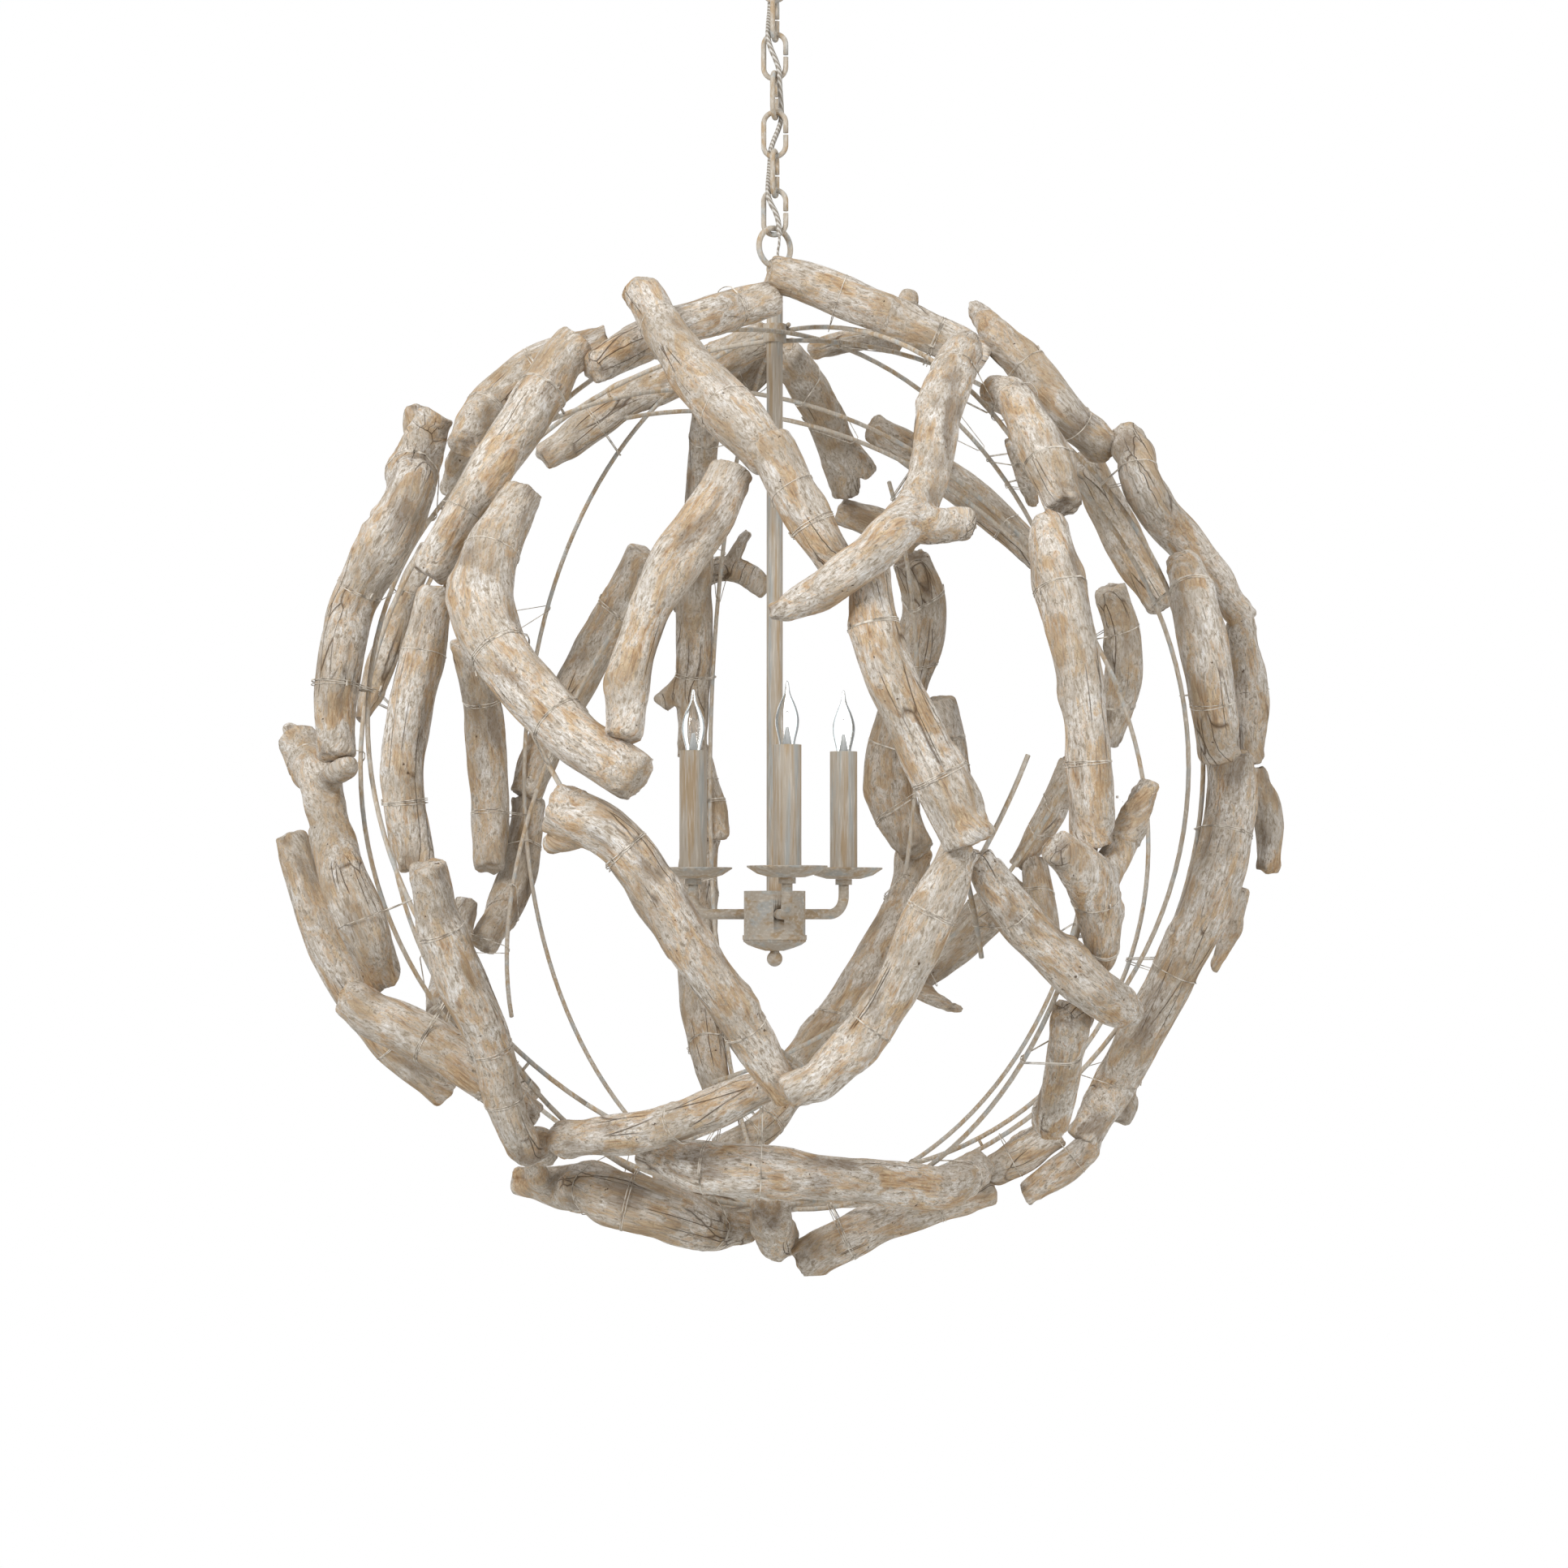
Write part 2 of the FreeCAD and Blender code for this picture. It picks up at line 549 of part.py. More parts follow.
def hoop(centre, start, across, radius, from_deg, to_deg):
    return {"centre": centre, "start": start, "across": across, "radius": radius,
            "from": math.radians(from_deg), "to": math.radians(to_deg)}


def polar_hoop(pixel, level, rear_half):
    radius = FRAME_RADIUS + level * ROD_PITCH
    waist = pixel_on_ball(pixel[0], pixel[1], radius, "near") - BALL_CENTRE
    out = Vector(waist.x, waist.y, 0).normalize()
    aside = UP.cross(out) * ((TOP_COLLAR_DIAMETER + FRAME_ROD) / 2 + RUN_GAP)
    ring = math.sqrt(radius * radius - aside.dot(aside))
    turns = (180, 360) if rear_half else (0, 360)
    return hoop(BALL_CENTRE + aside, UP, out, ring, turns[0], turns[1])


def tilted_hoop(first, second, side, level, from_deg, to_deg):
    radius = FRAME_RADIUS - level * ROD_PITCH
    start = (pixel_on_ball(first[0], first[1], radius, side) - BALL_CENTRE).normalize()
    towards = (pixel_on_ball(second[0], second[1], radius, side) - BALL_CENTRE).normalize()
    across = start.cross(towards).normalize().cross(start)
    return hoop(BALL_CENTRE, start, across, radius, from_deg, to_deg)


def hoop_point(rod, angle):
    turned = rod["start"] * math.cos(angle) + rod["across"] * math.sin(angle)
    return rod["centre"] + turned * rod["radius"]


def hoop_tangent(rod, angle):
    return rod["across"] * math.cos(angle) - rod["start"] * math.sin(angle)


def hoop_sectors(rod):
    span = rod["to"] - rod["from"]
    count = math.ceil(span / math.radians(ROD_SECTOR_DEG))
    axis = rod["start"].cross(rod["across"])
    sectors = []
    for index in range(count):
        angle = rod["from"] + span * index / count
        ring = Part.makeCircle(FRAME_ROD / 2, hoop_point(rod, angle), hoop_tangent(rod, angle))
        face = Part.Face(Part.Wire([ring]))
        sectors.append(face.revolve(rod["centre"], axis, math.degrees(span / count)))
    return sectors


def hoop_samples(rod):
    # Places along a rod, for what is laid on it to be kept clear of it.
    length = (rod["to"] - rod["from"]) * rod["radius"]
    count = math.ceil(length / (1.5 * FRAME_ROD))
    samples = []
    for index in range(count + 1):
        angle = rod["from"] + (rod["to"] - rod["from"]) * index / count
        samples.append((hoop_point(rod, angle), FRAME_ROD / 2, hoop_tangent(rod, angle)))
    return samples


def crossings(rod, other):
    # Where one hoop passes over another, as pairs of places nearest each other.
    line = rod["start"].cross(rod["across"]).cross(other["start"].cross(other["across"])).normalize()
    found = []
    for direction in (line, line * -1):
        angles = []
        for each in (rod, other):
            angle = math.atan2(direction.dot(each["across"]), direction.dot(each["start"]))
            angles.append(angle + math.ceil((each["from"] - angle) / (2 * math.pi)) * 2 * math.pi)
        if angles[0] <= rod["to"] and angles[1] <= other["to"]:
            found.append(nearest_pair(rod, other, angles[0], angles[1]))
    return found


def nearest_pair(rod, other, angle, other_angle):
    step = math.radians(2)
    best = (hoop_point(rod, angle) - hoop_point(other, other_angle)).Length
    while step > math.radians(0.001):
        moved = False
        for turn, other_turn in ((1, 0), (-1, 0), (0, 1), (0, -1), (1, 1), (-1, -1), (1, -1), (-1, 1)):
            tried = angle + turn * step
            other_tried = other_angle + other_turn * step
            apart = (hoop_point(rod, tried) - hoop_point(other, other_tried)).Length
            if apart < best:
                best = apart
                angle = tried
                other_angle = other_tried
                moved = True
        if not moved:
            step = step / 2
    return hoop_point(rod, angle), hoop_point(other, other_angle)


def weld_posts(rods):
    # A short post under each crossing where the hoops do not touch. Notes which rods are one frame.
    posts = []
    pairs = []
    for index, rod in enumerate(rods):
        for other_index in range(max(index + 1, len(POLAR_HOOPS_PX)), len(rods)):
            for low, high in crossings(rod, rods[other_index]):
                between = high - low
                height = between.Length - FRAME_ROD - 2 * WELD_POST_END_GAP
                if height < WELD_POST_REACH:
                    pairs.append((index, other_index))
                if WELD_TOUCH < height < WELD_POST_REACH:
                    base = low + between.normalize() * (FRAME_ROD / 2 + WELD_POST_END_GAP)
                    posts.append(Part.makeCylinder(WELD_POST_DIAMETER / 2, height, base, between))
                    ROD_SAMPLES["rod" + str(index)].append(((low + high) * 0.5, height / 2, Vector()))
    welded = set(range(len(POLAR_HOOPS_PX)))
    for turn in rods:
        for one, two in pairs:
            if one in welded or two in welded:
                welded.update((one, two))
    WELDED.extend("rod" + str(index) for index in sorted(welded))
    return posts


def make_top_collar():
    # A sleeve welded on the stem, with the polar hoops welded to its sides.
    middle = BALL_Z + FRAME_RADIUS + ROD_PITCH
    return tube_along_z(TOP_COLLAR_DIAMETER, STEM_DIAMETER + 2 * THREAD_GAP,
                        middle - TOP_COLLAR_LENGTH / 2, middle + TOP_COLLAR_LENGTH / 2)


# Driftwood. Each branch is a route of pixels in the photograph with the width it has there,
# on the near or the far side of the ball. A stub is a route that leaves its branch.
# Branches are laid in this order, each over the rods and the branches it meets.

DRIFTWOOD_PX = {
    "driftwood_top_left": [
        ("near", [(936, 366, 44), (880, 384, 50), (822, 402, 50), (778, 424, 46)],
         [[(790, 416, 44), (762, 432, 42), (746, 442, 40)]]),
        ("near", [(728, 424, 46), (690, 434, 50), (640, 462, 52), (600, 500, 50), (576, 536, 40)], [])],
    "driftwood_top_right": [
        ("near", [(970, 364, 42), (1010, 376, 50), (1060, 384, 50), (1110, 396, 48), (1160, 413, 46),
                  (1196, 430, 38)], [[(1108, 392, 26), (1116, 372, 22), (1120, 356, 16)]]),
        ("near", [(1226, 440, 42), (1262, 466, 50), (1310, 504, 50), (1350, 542, 42)],
         [[(1228, 440, 30), (1206, 414, 30), (1188, 388, 24)]])],
    "driftwood_left_lower": [
        ("near", [(374, 926, 46), (396, 955, 50), (404, 1005, 48), (424, 1080, 56), (448, 1140, 60),
                  (466, 1190, 48)],
         [[(384, 934, 30), (366, 908, 26), (357, 890, 14)], [(404, 965, 30), (424, 950, 26),
         (438, 941, 16)]]),
        ("near", [(364, 1050, 36), (378, 1090, 44), (396, 1145, 46), (420, 1200, 46), (455, 1250, 46),
                  (500, 1300, 45), (536, 1334, 36)], []),
        ("near", [(478, 1222, 52), (506, 1252, 58), (550, 1290, 56), (600, 1330, 50), (640, 1364, 40)], [])],
    "driftwood_left_upper": [
        ("near", [(528, 528, 44), (516, 566, 58), (496, 625, 60), (462, 690, 58), (434, 742, 55),
                  (420, 800, 56), (410, 856, 54), (413, 912, 46)],
         [[(520, 556, 36), (512, 524, 28), (510, 496, 18)]])],
    "driftwood_right_lower": [
        ("near", [(1514, 950, 54), (1516, 1002, 62), (1504, 1060, 64), (1484, 1120, 62), (1457, 1180, 56),
                  (1428, 1235, 52), (1396, 1290, 52), (1368, 1340, 50), (1344, 1386, 42)],
         [[(1376, 1324, 30), (1386, 1350, 34), (1374, 1382, 26)]]),
        ("far", [(1552, 968, 30), (1566, 1004, 36), (1562, 1052, 28)], []),
        ("far", [(1528, 1092, 24), (1516, 1146, 24), (1494, 1196, 14)], [])],
    "driftwood_right_outer": [
        ("near", [(1372, 566, 42), (1404, 604, 50), (1450, 660, 48), (1496, 712, 44), (1522, 748, 34)], []),
        ("near", [(1462, 706, 46), (1474, 750, 56), (1485, 800, 58), (1494, 850, 58), (1502, 912, 52)], []),
        ("near", [(1532, 784, 36), (1536, 826, 44), (1540, 872, 46), (1540, 918, 38)], [])],
    "driftwood_bottom_left": [
        ("near", [(656, 1456, 30), (690, 1454, 48), (740, 1462, 64), (800, 1480, 68), (856, 1500, 62),
                  (908, 1506, 38)], [[(672, 1450, 26), (664, 1430, 22), (658, 1412, 14)]]),
        ("near", [(704, 1402, 42), (750, 1398, 48), (810, 1390, 50), (860, 1374, 48), (905, 1353, 46),
                  (938, 1341, 38)], []),
        ("near", [(955, 1520, 52), (950, 1496, 50)], []),
        ("far", [(968, 1356, 30), (940, 1380, 36), (902, 1394, 30)], []),
        ("far", [(830, 1444, 42), (900, 1450, 48), (980, 1456, 48), (1060, 1460, 46), (1130, 1456, 38)], [])],
    "driftwood_bottom_long": [
        ("near", [(812, 1424, 38), (860, 1436, 58), (930, 1442, 62), (1000, 1448, 56), (1070, 1454, 52),
                  (1140, 1452, 50), (1198, 1444, 42)], []),
        ("near", [(1000, 1516, 52), (1050, 1506, 52), (1110, 1492, 46), (1165, 1480, 40), (1202, 1472, 30)],
         [])],
    "driftwood_right_foot": [
        ("near", [(1316, 1262, 44), (1310, 1304, 40), (1301, 1346, 44), (1294, 1376, 44)],
         [[(1318, 1280, 28), (1330, 1266, 26), (1342, 1252, 18)]]),
        ("near", [(1284, 1404, 42), (1262, 1422, 44), (1236, 1434, 36)], []),
        ("near", [(1268, 1442, 30), (1300, 1436, 36), (1326, 1420, 32)], [])],
    "driftwood_rear_centre": [
        ("far", [(872, 490, 32), (862, 600, 36), (857, 700, 40), (855, 800, 45), (852, 915, 34)],
         [[(852, 830, 30), (826, 856, 26)]]),
        ("far", [(862, 935, 30), (872, 975, 36), (879, 1015, 34)], []),
        ("far", [(864, 1042, 44), (859, 1120, 48), (862, 1200, 50), (868, 1270, 46), (884, 1335, 36)], []),
        ("far", [(828, 752, 22), (858, 722, 26), (886, 706, 28), (914, 706, 28), (944, 730, 22)],
         [[(898, 706, 20), (908, 682, 16), (924, 660, 10)]]),
        ("far", [(770, 1040, 40), (802, 1090, 46), (836, 1150, 44)], []),
        ("far", [(905, 1250, 40), (940, 1300, 44), (962, 1332, 34)], [])],
    "driftwood_left_rear": [
        ("far", [(578, 806, 40), (595, 870, 46), (603, 950, 46), (607, 1010, 45), (604, 1052, 36)], []),
        ("far", [(786, 696, 44), (760, 750, 48), (720, 820, 50), (680, 900, 48), (654, 962, 40)], []),
        ("far", [(652, 1002, 40), (648, 1056, 45), (632, 1110, 44), (604, 1152, 34)], []),
        ("far", [(572, 1128, 32), (556, 1190, 36), (540, 1240, 26)], []),
        ("far", [(520, 690, 26), (490, 760, 30), (465, 830, 30), (444, 890, 22)], []),
        ("far", [(600, 650, 38), (598, 700, 46), (612, 770, 48), (652, 830, 46), (704, 882, 44)], []),
        ("far", [(566, 1245, 40), (586, 1280, 44), (640, 1340, 40)], [])],
    "driftwood_top_left_rear": [
        ("far", [(648, 494, 30), (612, 516, 35), (576, 550, 35), (560, 590, 26)], []),
        ("far", [(930, 428, 40), (870, 456, 46), (800, 486, 46), (735, 518, 44), (684, 552, 34)], []),
        ("far", [(944, 462, 34), (920, 480, 40), (896, 500, 34)], [])],
    "driftwood_top_right_rear": [
        ("far", [(972, 440, 40), (1000, 480, 46), (1024, 530, 46), (1040, 590, 38)],
         [[(1030, 545, 34), (1062, 566, 30), (1074, 578, 22)]]),
        ("far", [(1000, 428, 24), (1045, 424, 26), (1104, 420, 22)], []),
        ("far", [(1052, 634, 36), (1080, 646, 40), (1112, 660, 34)], []),
        ("far", [(1092, 536, 34), (1130, 560, 40), (1190, 605, 42), (1238, 645, 40), (1270, 678, 30)], []),
        ("far", [(1244, 540, 20), (1262, 582, 20), (1276, 622, 14)], []),
        ("far", [(1166, 470, 38), (1154, 510, 44), (1146, 540, 38)], [])],
    "driftwood_rear_right_centre": [
        ("far", [(1128, 704, 46), (1142, 745, 52), (1136, 790, 50), (1124, 842, 40)], []),
        ("far", [(1106, 884, 46), (1094, 945, 56), (1100, 1000, 54), (1120, 1034, 44)], []),
        ("far", [(1122, 1066, 42), (1105, 1120, 46), (1080, 1170, 46), (1055, 1215, 44), (1020, 1260, 40),
                 (984, 1300, 34)], []),
        ("far", [(1160, 880, 42), (1168, 930, 48), (1172, 975, 42)], [])],
    "driftwood_right_rear": [
        ("far", [(1344, 580, 42), (1368, 630, 46), (1398, 690, 45), (1424, 732, 34)], []),
        ("far", [(1374, 742, 38), (1385, 790, 44), (1382, 845, 42), (1370, 898, 32)], []),
        ("far", [(1314, 955, 30), (1290, 1010, 34), (1264, 1052, 28)], []),
        ("far", [(1240, 1100, 44), (1200, 1140, 50), (1150, 1185, 50), (1108, 1216, 40)],
         [[(1122, 1206, 30), (1146, 1232, 20), (1182, 1244, 10)]]),
        ("far", [(1276, 1076, 30), (1286, 1130, 35), (1297, 1190, 28)], []),
        ("far", [(1318, 760, 42), (1330, 830, 46), (1340, 890, 40)], []),
        ("far", [(1484, 780, 42), (1490, 840, 46), (1496, 900, 42)], []),
        ("far", [(1496, 1045, 44), (1480, 1110, 48), (1454, 1170, 46), (1424, 1230, 40)], [])],
    "driftwood_left_inner": [
        ("near", [(532, 750, 44), (522, 800, 50), (511, 850, 52), (503, 900, 54), (499, 950, 52),
                  (503, 1000, 50), (513, 1046, 48)], []),
        ("near", [(537, 1084, 44), (543, 1130, 52), (558, 1180, 58), (580, 1230, 56), (605, 1280, 50),
                  (630, 1330, 46), (655, 1370, 44), (672, 1406, 38)], [])],
    "driftwood_left_diagonal": [
        ("near", [(706, 454, 54), (670, 485, 60), (630, 540, 58), (595, 590, 54), (565, 640, 48),
                  (540, 690, 42)], []),
        ("near", [(634, 622, 50), (613, 660, 62), (595, 700, 72), (592, 750, 78), (620, 810, 72),
                  (665, 865, 68), (715, 915, 66), (766, 948, 64)], [])],
    "driftwood_left_sweep": [
        ("near", [(704, 1004, 62), (738, 1012, 62), (782, 1056, 58), (820, 1110, 58), (855, 1170, 58),
                  (890, 1225, 56), (925, 1275, 52), (960, 1324, 42)],
         [[(735, 1010, 40), (700, 1022, 34), (676, 1040, 20)]])],
    "driftwood_front_right_sweep": [
        ("near", [(1176, 1062, 46), (1158, 1105, 56), (1135, 1150, 58), (1108, 1205, 56), (1073, 1255, 54),
                  (1030, 1296, 52), (990, 1322, 44)], [])],
    "driftwood_front_long": [
        ("near", [(1074, 712, 46), (1076, 752, 56), (1085, 802, 60), (1108, 855, 62), (1135, 910, 66),
                  (1164, 968, 70), (1184, 1016, 64)], [])],
    "driftwood_top_front": [
        ("near", [(893, 600, 54), (882, 628, 62), (860, 655, 62), (825, 695, 60), (805, 740, 54),
                  (788, 790, 50), (776, 840, 52), (771, 886, 46)], []),
        ("near", [(806, 410, 44), (842, 444, 56), (880, 486, 66), (915, 524, 64), (938, 548, 54)], []),
        ("near", [(956, 572, 52), (975, 606, 56), (1000, 650, 54), (1024, 684, 46)], [])],
    "driftwood_right_inner": [
        ("near", [(1238, 482, 44), (1262, 522, 54), (1288, 572, 60), (1300, 612, 50)], []),
        ("near", [(1296, 660, 46), (1304, 700, 60), (1316, 750, 60), (1328, 820, 56), (1338, 890, 52),
                  (1344, 955, 55), (1346, 1016, 54)], [])],
    "driftwood_front_s": [
        ("near", [(1184, 440, 48), (1166, 482, 54), (1155, 530, 50), (1147, 582, 48), (1120, 640, 50),
                  (1080, 684, 50), (1030, 720, 47), (985, 749, 38), (948, 757, 20)],
         [[(1122, 640, 44), (1150, 650, 46), (1178, 646, 36)]])],
    "driftwood_right_antler": [
        ("near", [(1306, 1052, 44), (1334, 1074, 60), (1349, 1110, 54), (1347, 1150, 46), (1342, 1188, 32)],
         [[(1352, 1094, 46), (1376, 1066, 42), (1393, 1028, 38), (1406, 995, 32), (1421, 966, 24)]])],
    "driftwood_right_low_diagonal": [
        ("near", [(1214, 1070, 40), (1237, 1112, 50), (1276, 1156, 56), (1320, 1200, 58), (1366, 1234, 48)],
         [[(1224, 1088, 34), (1212, 1066, 30), (1206, 1050, 24)]])],
}


def evened(points):
    # A smooth run through the route's own points, in small steps.
    run = []
    last = len(points) - 1
    for index in range(last):
        a = points[max(index - 1, 0)]
        b = points[index]
        c = points[index + 1]
        d = points[min(index + 2, last)]
        for step in range(6):
            t = step / 6
            run.append(tuple(0.5 * (2 * q + (r - p) * t + (2 * p - 5 * q + 4 * r - s) * t * t
                                    + (3 * q - p - 3 * r + s) * t * t * t)
                             for p, q, r, s in zip(a, b, c, d)))
    run.append(points[-1])
    return run


def wood_radius(width_px, place):
    # A width in the photograph, made real by how far from the camera it lies.
    return width_px / 2 * MM_PER_PX * (CAMERA_DISTANCE + place.y) / CAMERA_DISTANCE


def lift_over(direction, own_radius, laid, lowest):
    # How far out a branch's middle lies to clear what is already there in this direction.
    height = lowest
    for place, radius, along, gap in laid:
        reach = own_radius + radius + gap
        offset = place - BALL_CENTRE
        out = offset.dot(direction)
        aside = offset.dot(offset) - out * out
        if out > 0 and aside < reach * reach:
            height = max(height, out + math.sqrt(reach * reach - aside))
    return height


def eased(heights, spacings, slope):
    # The lowest line over all the heights that climbs and falls no faster than the slope.
    line = list(heights)
    for index in range(1, len(line)):
        line[index] = max(line[index], line[index - 1] - slope * spacings[index - 1])
    for index in range(len(line) - 2, -1, -1):
        line[index] = max(line[index], line[index + 1] - slope * spacings[index])
    return line


def aimed(x_px, y_px, base, height, side):
    # Where a branch's middle lies at some height, as the camera sees it. Towards the ball's
    # outline a raised branch is moved straight out, because the sight line only grazes there.
    first = pixel_on_ball(x_px, y_px, base, side) - BALL_CENTRE
    sight = (BALL_CENTRE + first - CAMERA_EYE).normalize()
    facing = abs(Vector(first).normalize().dot(sight))
    place = pixel_on_ball(x_px, y_px, base + (height - base) * facing * facing, side) - BALL_CENTRE
    return BALL_CENTRE + Vector(place).normalize() * max(height, place.Length)


def lay_branch(side, route, laid):
    # Stations along a branch: its middle line and radius, clear of what it lies on.
    lowest = FRAME_RADIUS + FRAME_ROD / 2 + WOOD_ROD_GAP
    run = evened(route)
    places = []
    radii = []
    heights = []
    for x_px, y_px, width_px in run:
        base = lowest + width_px / 2 * MM_PER_PX
        height = base
        for turn in range(3):
            place = aimed(x_px, y_px, base, height, side)
            radius = wood_radius(width_px, place)
            direction = (place - BALL_CENTRE).normalize()
            height = lift_over(direction, radius, laid, lowest + radius)
        radii.append(radius)
        places.append(place)
        heights.append(height)
    spacings = [max((places[k + 1] - places[k]).Length, WOOD_GAP) for k in range(len(places) - 1)]
    heights = eased(heights, spacings, WOOD_CLIMB_SHARE)
    places = [aimed(x, y, lowest + w / 2 * MM_PER_PX, height, side)
              for (x, y, w), height in zip(run, heights)]
    return settled(spaced(places, radii), laid, lowest)


def settled(stations, laid, lowest):
    # Each station is raised until it and the run to the next clear everything, then evened.
    directions = [(place - BALL_CENTRE).normalize() for place, radius in stations]
    heights = [(place - BALL_CENTRE).Length for place, radius in stations]
    last = len(stations) - 1
    for index, (place, radius) in enumerate(stations):
        spared = radius + WOOD_SLACK
        heights[index] = max(heights[index], lift_over(directions[index], spared, laid, lowest + radius))
        if index < last:
            for share in BETWEEN_SHARES:
                between = (directions[index] * (1 - share) + directions[index + 1] * share).normalize()
                wide = max(radius, stations[index + 1][1]) + WOOD_SLACK
                need = lift_over(between, wide, laid, 0)
                heights[index] = max(heights[index], need)
                heights[index + 1] = max(heights[index + 1], need)
    spacings = [WOOD_STATION] * last
    heights = eased(heights, spacings, WOOD_CLIMB_SHARE)
    for turn in range(2):
        heights = [heights[0]] + [max(b, (a + c) / 2) for a, b, c in
                                  zip(heights, heights[1:], heights[2:])] + [heights[-1]]
    return [(BALL_CENTRE + direction * height, radius) for direction, height, (place, radius)
            in zip(directions, heights, stations)]


def spaced(places, radii):
    # The same line with its stations one step apart.
    travelled = [0]
    for index in range(1, len(places)):
        travelled.append(travelled[-1] + (places[index] - places[index - 1]).Length)
    count = max(2, round(travelled[-1] / WOOD_STATION))
    stations = []
    index = 0
    for step in range(count + 1):
        target = travelled[-1] * step / count
        while index < len(places) - 2 and travelled[index + 1] < target:
            index += 1
        share = (target - travelled[index]) / (travelled[index + 1] - travelled[index])
        place = places[index] + (places[index + 1] - places[index]) * share
        stations.append((place, radii[index] + (radii[index + 1] - radii[index]) * share))
    middle = [((a[0] + b[0] * 2 + c[0]) * 0.25, b[1])
              for a, b, c in zip(stations, stations[1:], stations[2:])]
    return stations[:1] + middle + stations[-1:]


def tangents(stations):
    found = []
    last = len(stations) - 1
    for index in range(len(stations)):
        ahead = stations[min(index + 1, last)][0]
        behind = stations[max(index - 1, 0)][0]
        found.append((ahead - behind).normalize())
    return found


def wood_loft(stations):
    # Round sections joined smoothly, all with their seam turned away from the ball's middle.
    wires = []
    for (place, radius), along in zip(stations, tangents(stations)):
        out = (place - BALL_CENTRE).normalize()
        side = along.cross(out).normalize()
        circle = Part.Circle(place, along, radius)
        circle.XAxis = side.cross(along)
        wires.append(Part.Wire([circle.toShape()]))
    return Part.makeLoft(wires, True, False)


def lay_stubs(stations, side, stubs):
    # A stub starts on its branch's middle line and keeps its depth.
    laid_stubs = []
    for stub in stubs:
        start = nearest_station(stations, side, stub[0])
        depth = (start - BALL_CENTRE).Length
        places = [pixel_on_ball(x, y, depth, side) for x, y, w in evened(stub)]
        radii = [wood_radius(w, start) for x, y, w in evened(stub)]
        places = [start + (place - places[0]) for place in places]
        laid_stubs.append(spaced(places, radii))
    return laid_stubs


def nearest_station(stations, side, point):
    # The place on a branch's middle line that the camera sees nearest to a pixel.
    best = None
    for (a, radius_a), (b, radius_b) in zip(stations, stations[1:]):
        for step in range(5):
            place = a + (b - a) * (step / 4)
            sight = (place - CAMERA_EYE)
            scale = CAMERA_DISTANCE / (sight.y * MM_PER_PX)
            x_px = AXIS_X_PX + sight.x * scale
            y_px = EYE_LEVEL_Y_PX - sight.z * scale
            miss = (x_px - point[0]) ** 2 + (y_px - point[1]) ** 2
            if best is None or miss < best[0]:
                best = (miss, place)
    return best[1]


def wood_samples(loft, count):
    # Places along a loft's middle with its widest reach there, read from its own surface.
    face = max(loft.Faces, key=lambda each: each.Area)
    round_from, round_to, low, high = face.ParameterRange
    rings = []
    for index in range(count + 1):
        across = low + (high - low) * index / count
        ring = [face.valueAt(round_from + (round_to - round_from) * turn / 8, across) for turn in range(8)]
        middle = sum(ring, Vector()) * (1 / len(ring))
        rings.append((middle, max((point - middle).Length for point in ring)))
    return [(middle, radius, along) for (middle, radius), along in zip(rings, tangents(rings))]


# Binding wire: each wrap is a loop drawn tight round a branch and what it lies on

def belt(place, along, radius, anchor, furthest_slide):
    # The loop lies in one plane, squarer to the thicker of the two things that it holds.
    other, other_radius, other_along = anchor
    if along.dot(other_along) < 0:
        other_along = other_along * -1
    normal = (along * radius + other_along * other_radius).normalize()
    slide = (place - other).dot(normal) / other_along.dot(normal)
    if abs(slide) > furthest_slide:
        return None
    across = other + other_along * slide
    spare = BINDING_GAP + BINDING_WIRE / 2
    big = radius / along.dot(normal) + spare
    small = other_radius / other_along.dot(normal) + spare
    span = across - place
    if span.Length <= abs(big - small) + BINDING_WIRE:
        return None
    return {"place": place, "across": across, "big": big, "small": small, "normal": normal,
            "x": Vector(span).normalize(), "span": span.Length}


def belt_points(loop, count):
    # Corners of the loop in order, for testing what it comes near.
    y = loop["normal"].cross(loop["x"])
    lean = math.acos((loop["big"] - loop["small"]) / loop["span"])
    corners = []
    for step in range(count + 1):
        angle = lean + (2 * math.pi - 2 * lean) * step / count
        corners.append(loop["place"] + (loop["x"] * math.cos(angle) + y * math.sin(angle)) * loop["big"])
    for step in range(5):
        angle = -lean + 2 * lean * step / 4
        corners.append(loop["across"] + (loop["x"] * math.cos(angle) + y * math.sin(angle)) * loop["small"])
    points = []
    for start, end in zip(corners, corners[1:] + corners[:1]):
        steps = max(1, math.ceil((end - start).Length / (4 * BINDING_WIRE)))
        points += [start + (end - start) * (step / steps) for step in range(steps)]
    return points


def make_belt(loop):
    y = loop["normal"].cross(loop["x"])
    lean = math.acos((loop["big"] - loop["small"]) / loop["span"])

    def on(centre, radius, angle):
        return centre + (loop["x"] * math.cos(angle) + y * math.sin(angle)) * radius

    big_start = on(loop["place"], loop["big"], lean)
    big_middle = on(loop["place"], loop["big"], math.pi)
    big_end = on(loop["place"], loop["big"], -lean)
    small_start = on(loop["across"], loop["small"], -lean)
    small_middle = on(loop["across"], loop["small"], 0)
    small_end = on(loop["across"], loop["small"], lean)
    opening = small_end + (big_start - small_end).normalize() * (BINDING_WIRE / 2)
    path = Part.Wire([Part.makeLine(opening, big_start), Part.Arc(big_start, big_middle, big_end).toShape(),
                      Part.makeLine(big_end, small_start),
                      Part.Arc(small_start, small_middle, small_end).toShape()])
    return swept(path, BINDING_WIRE)


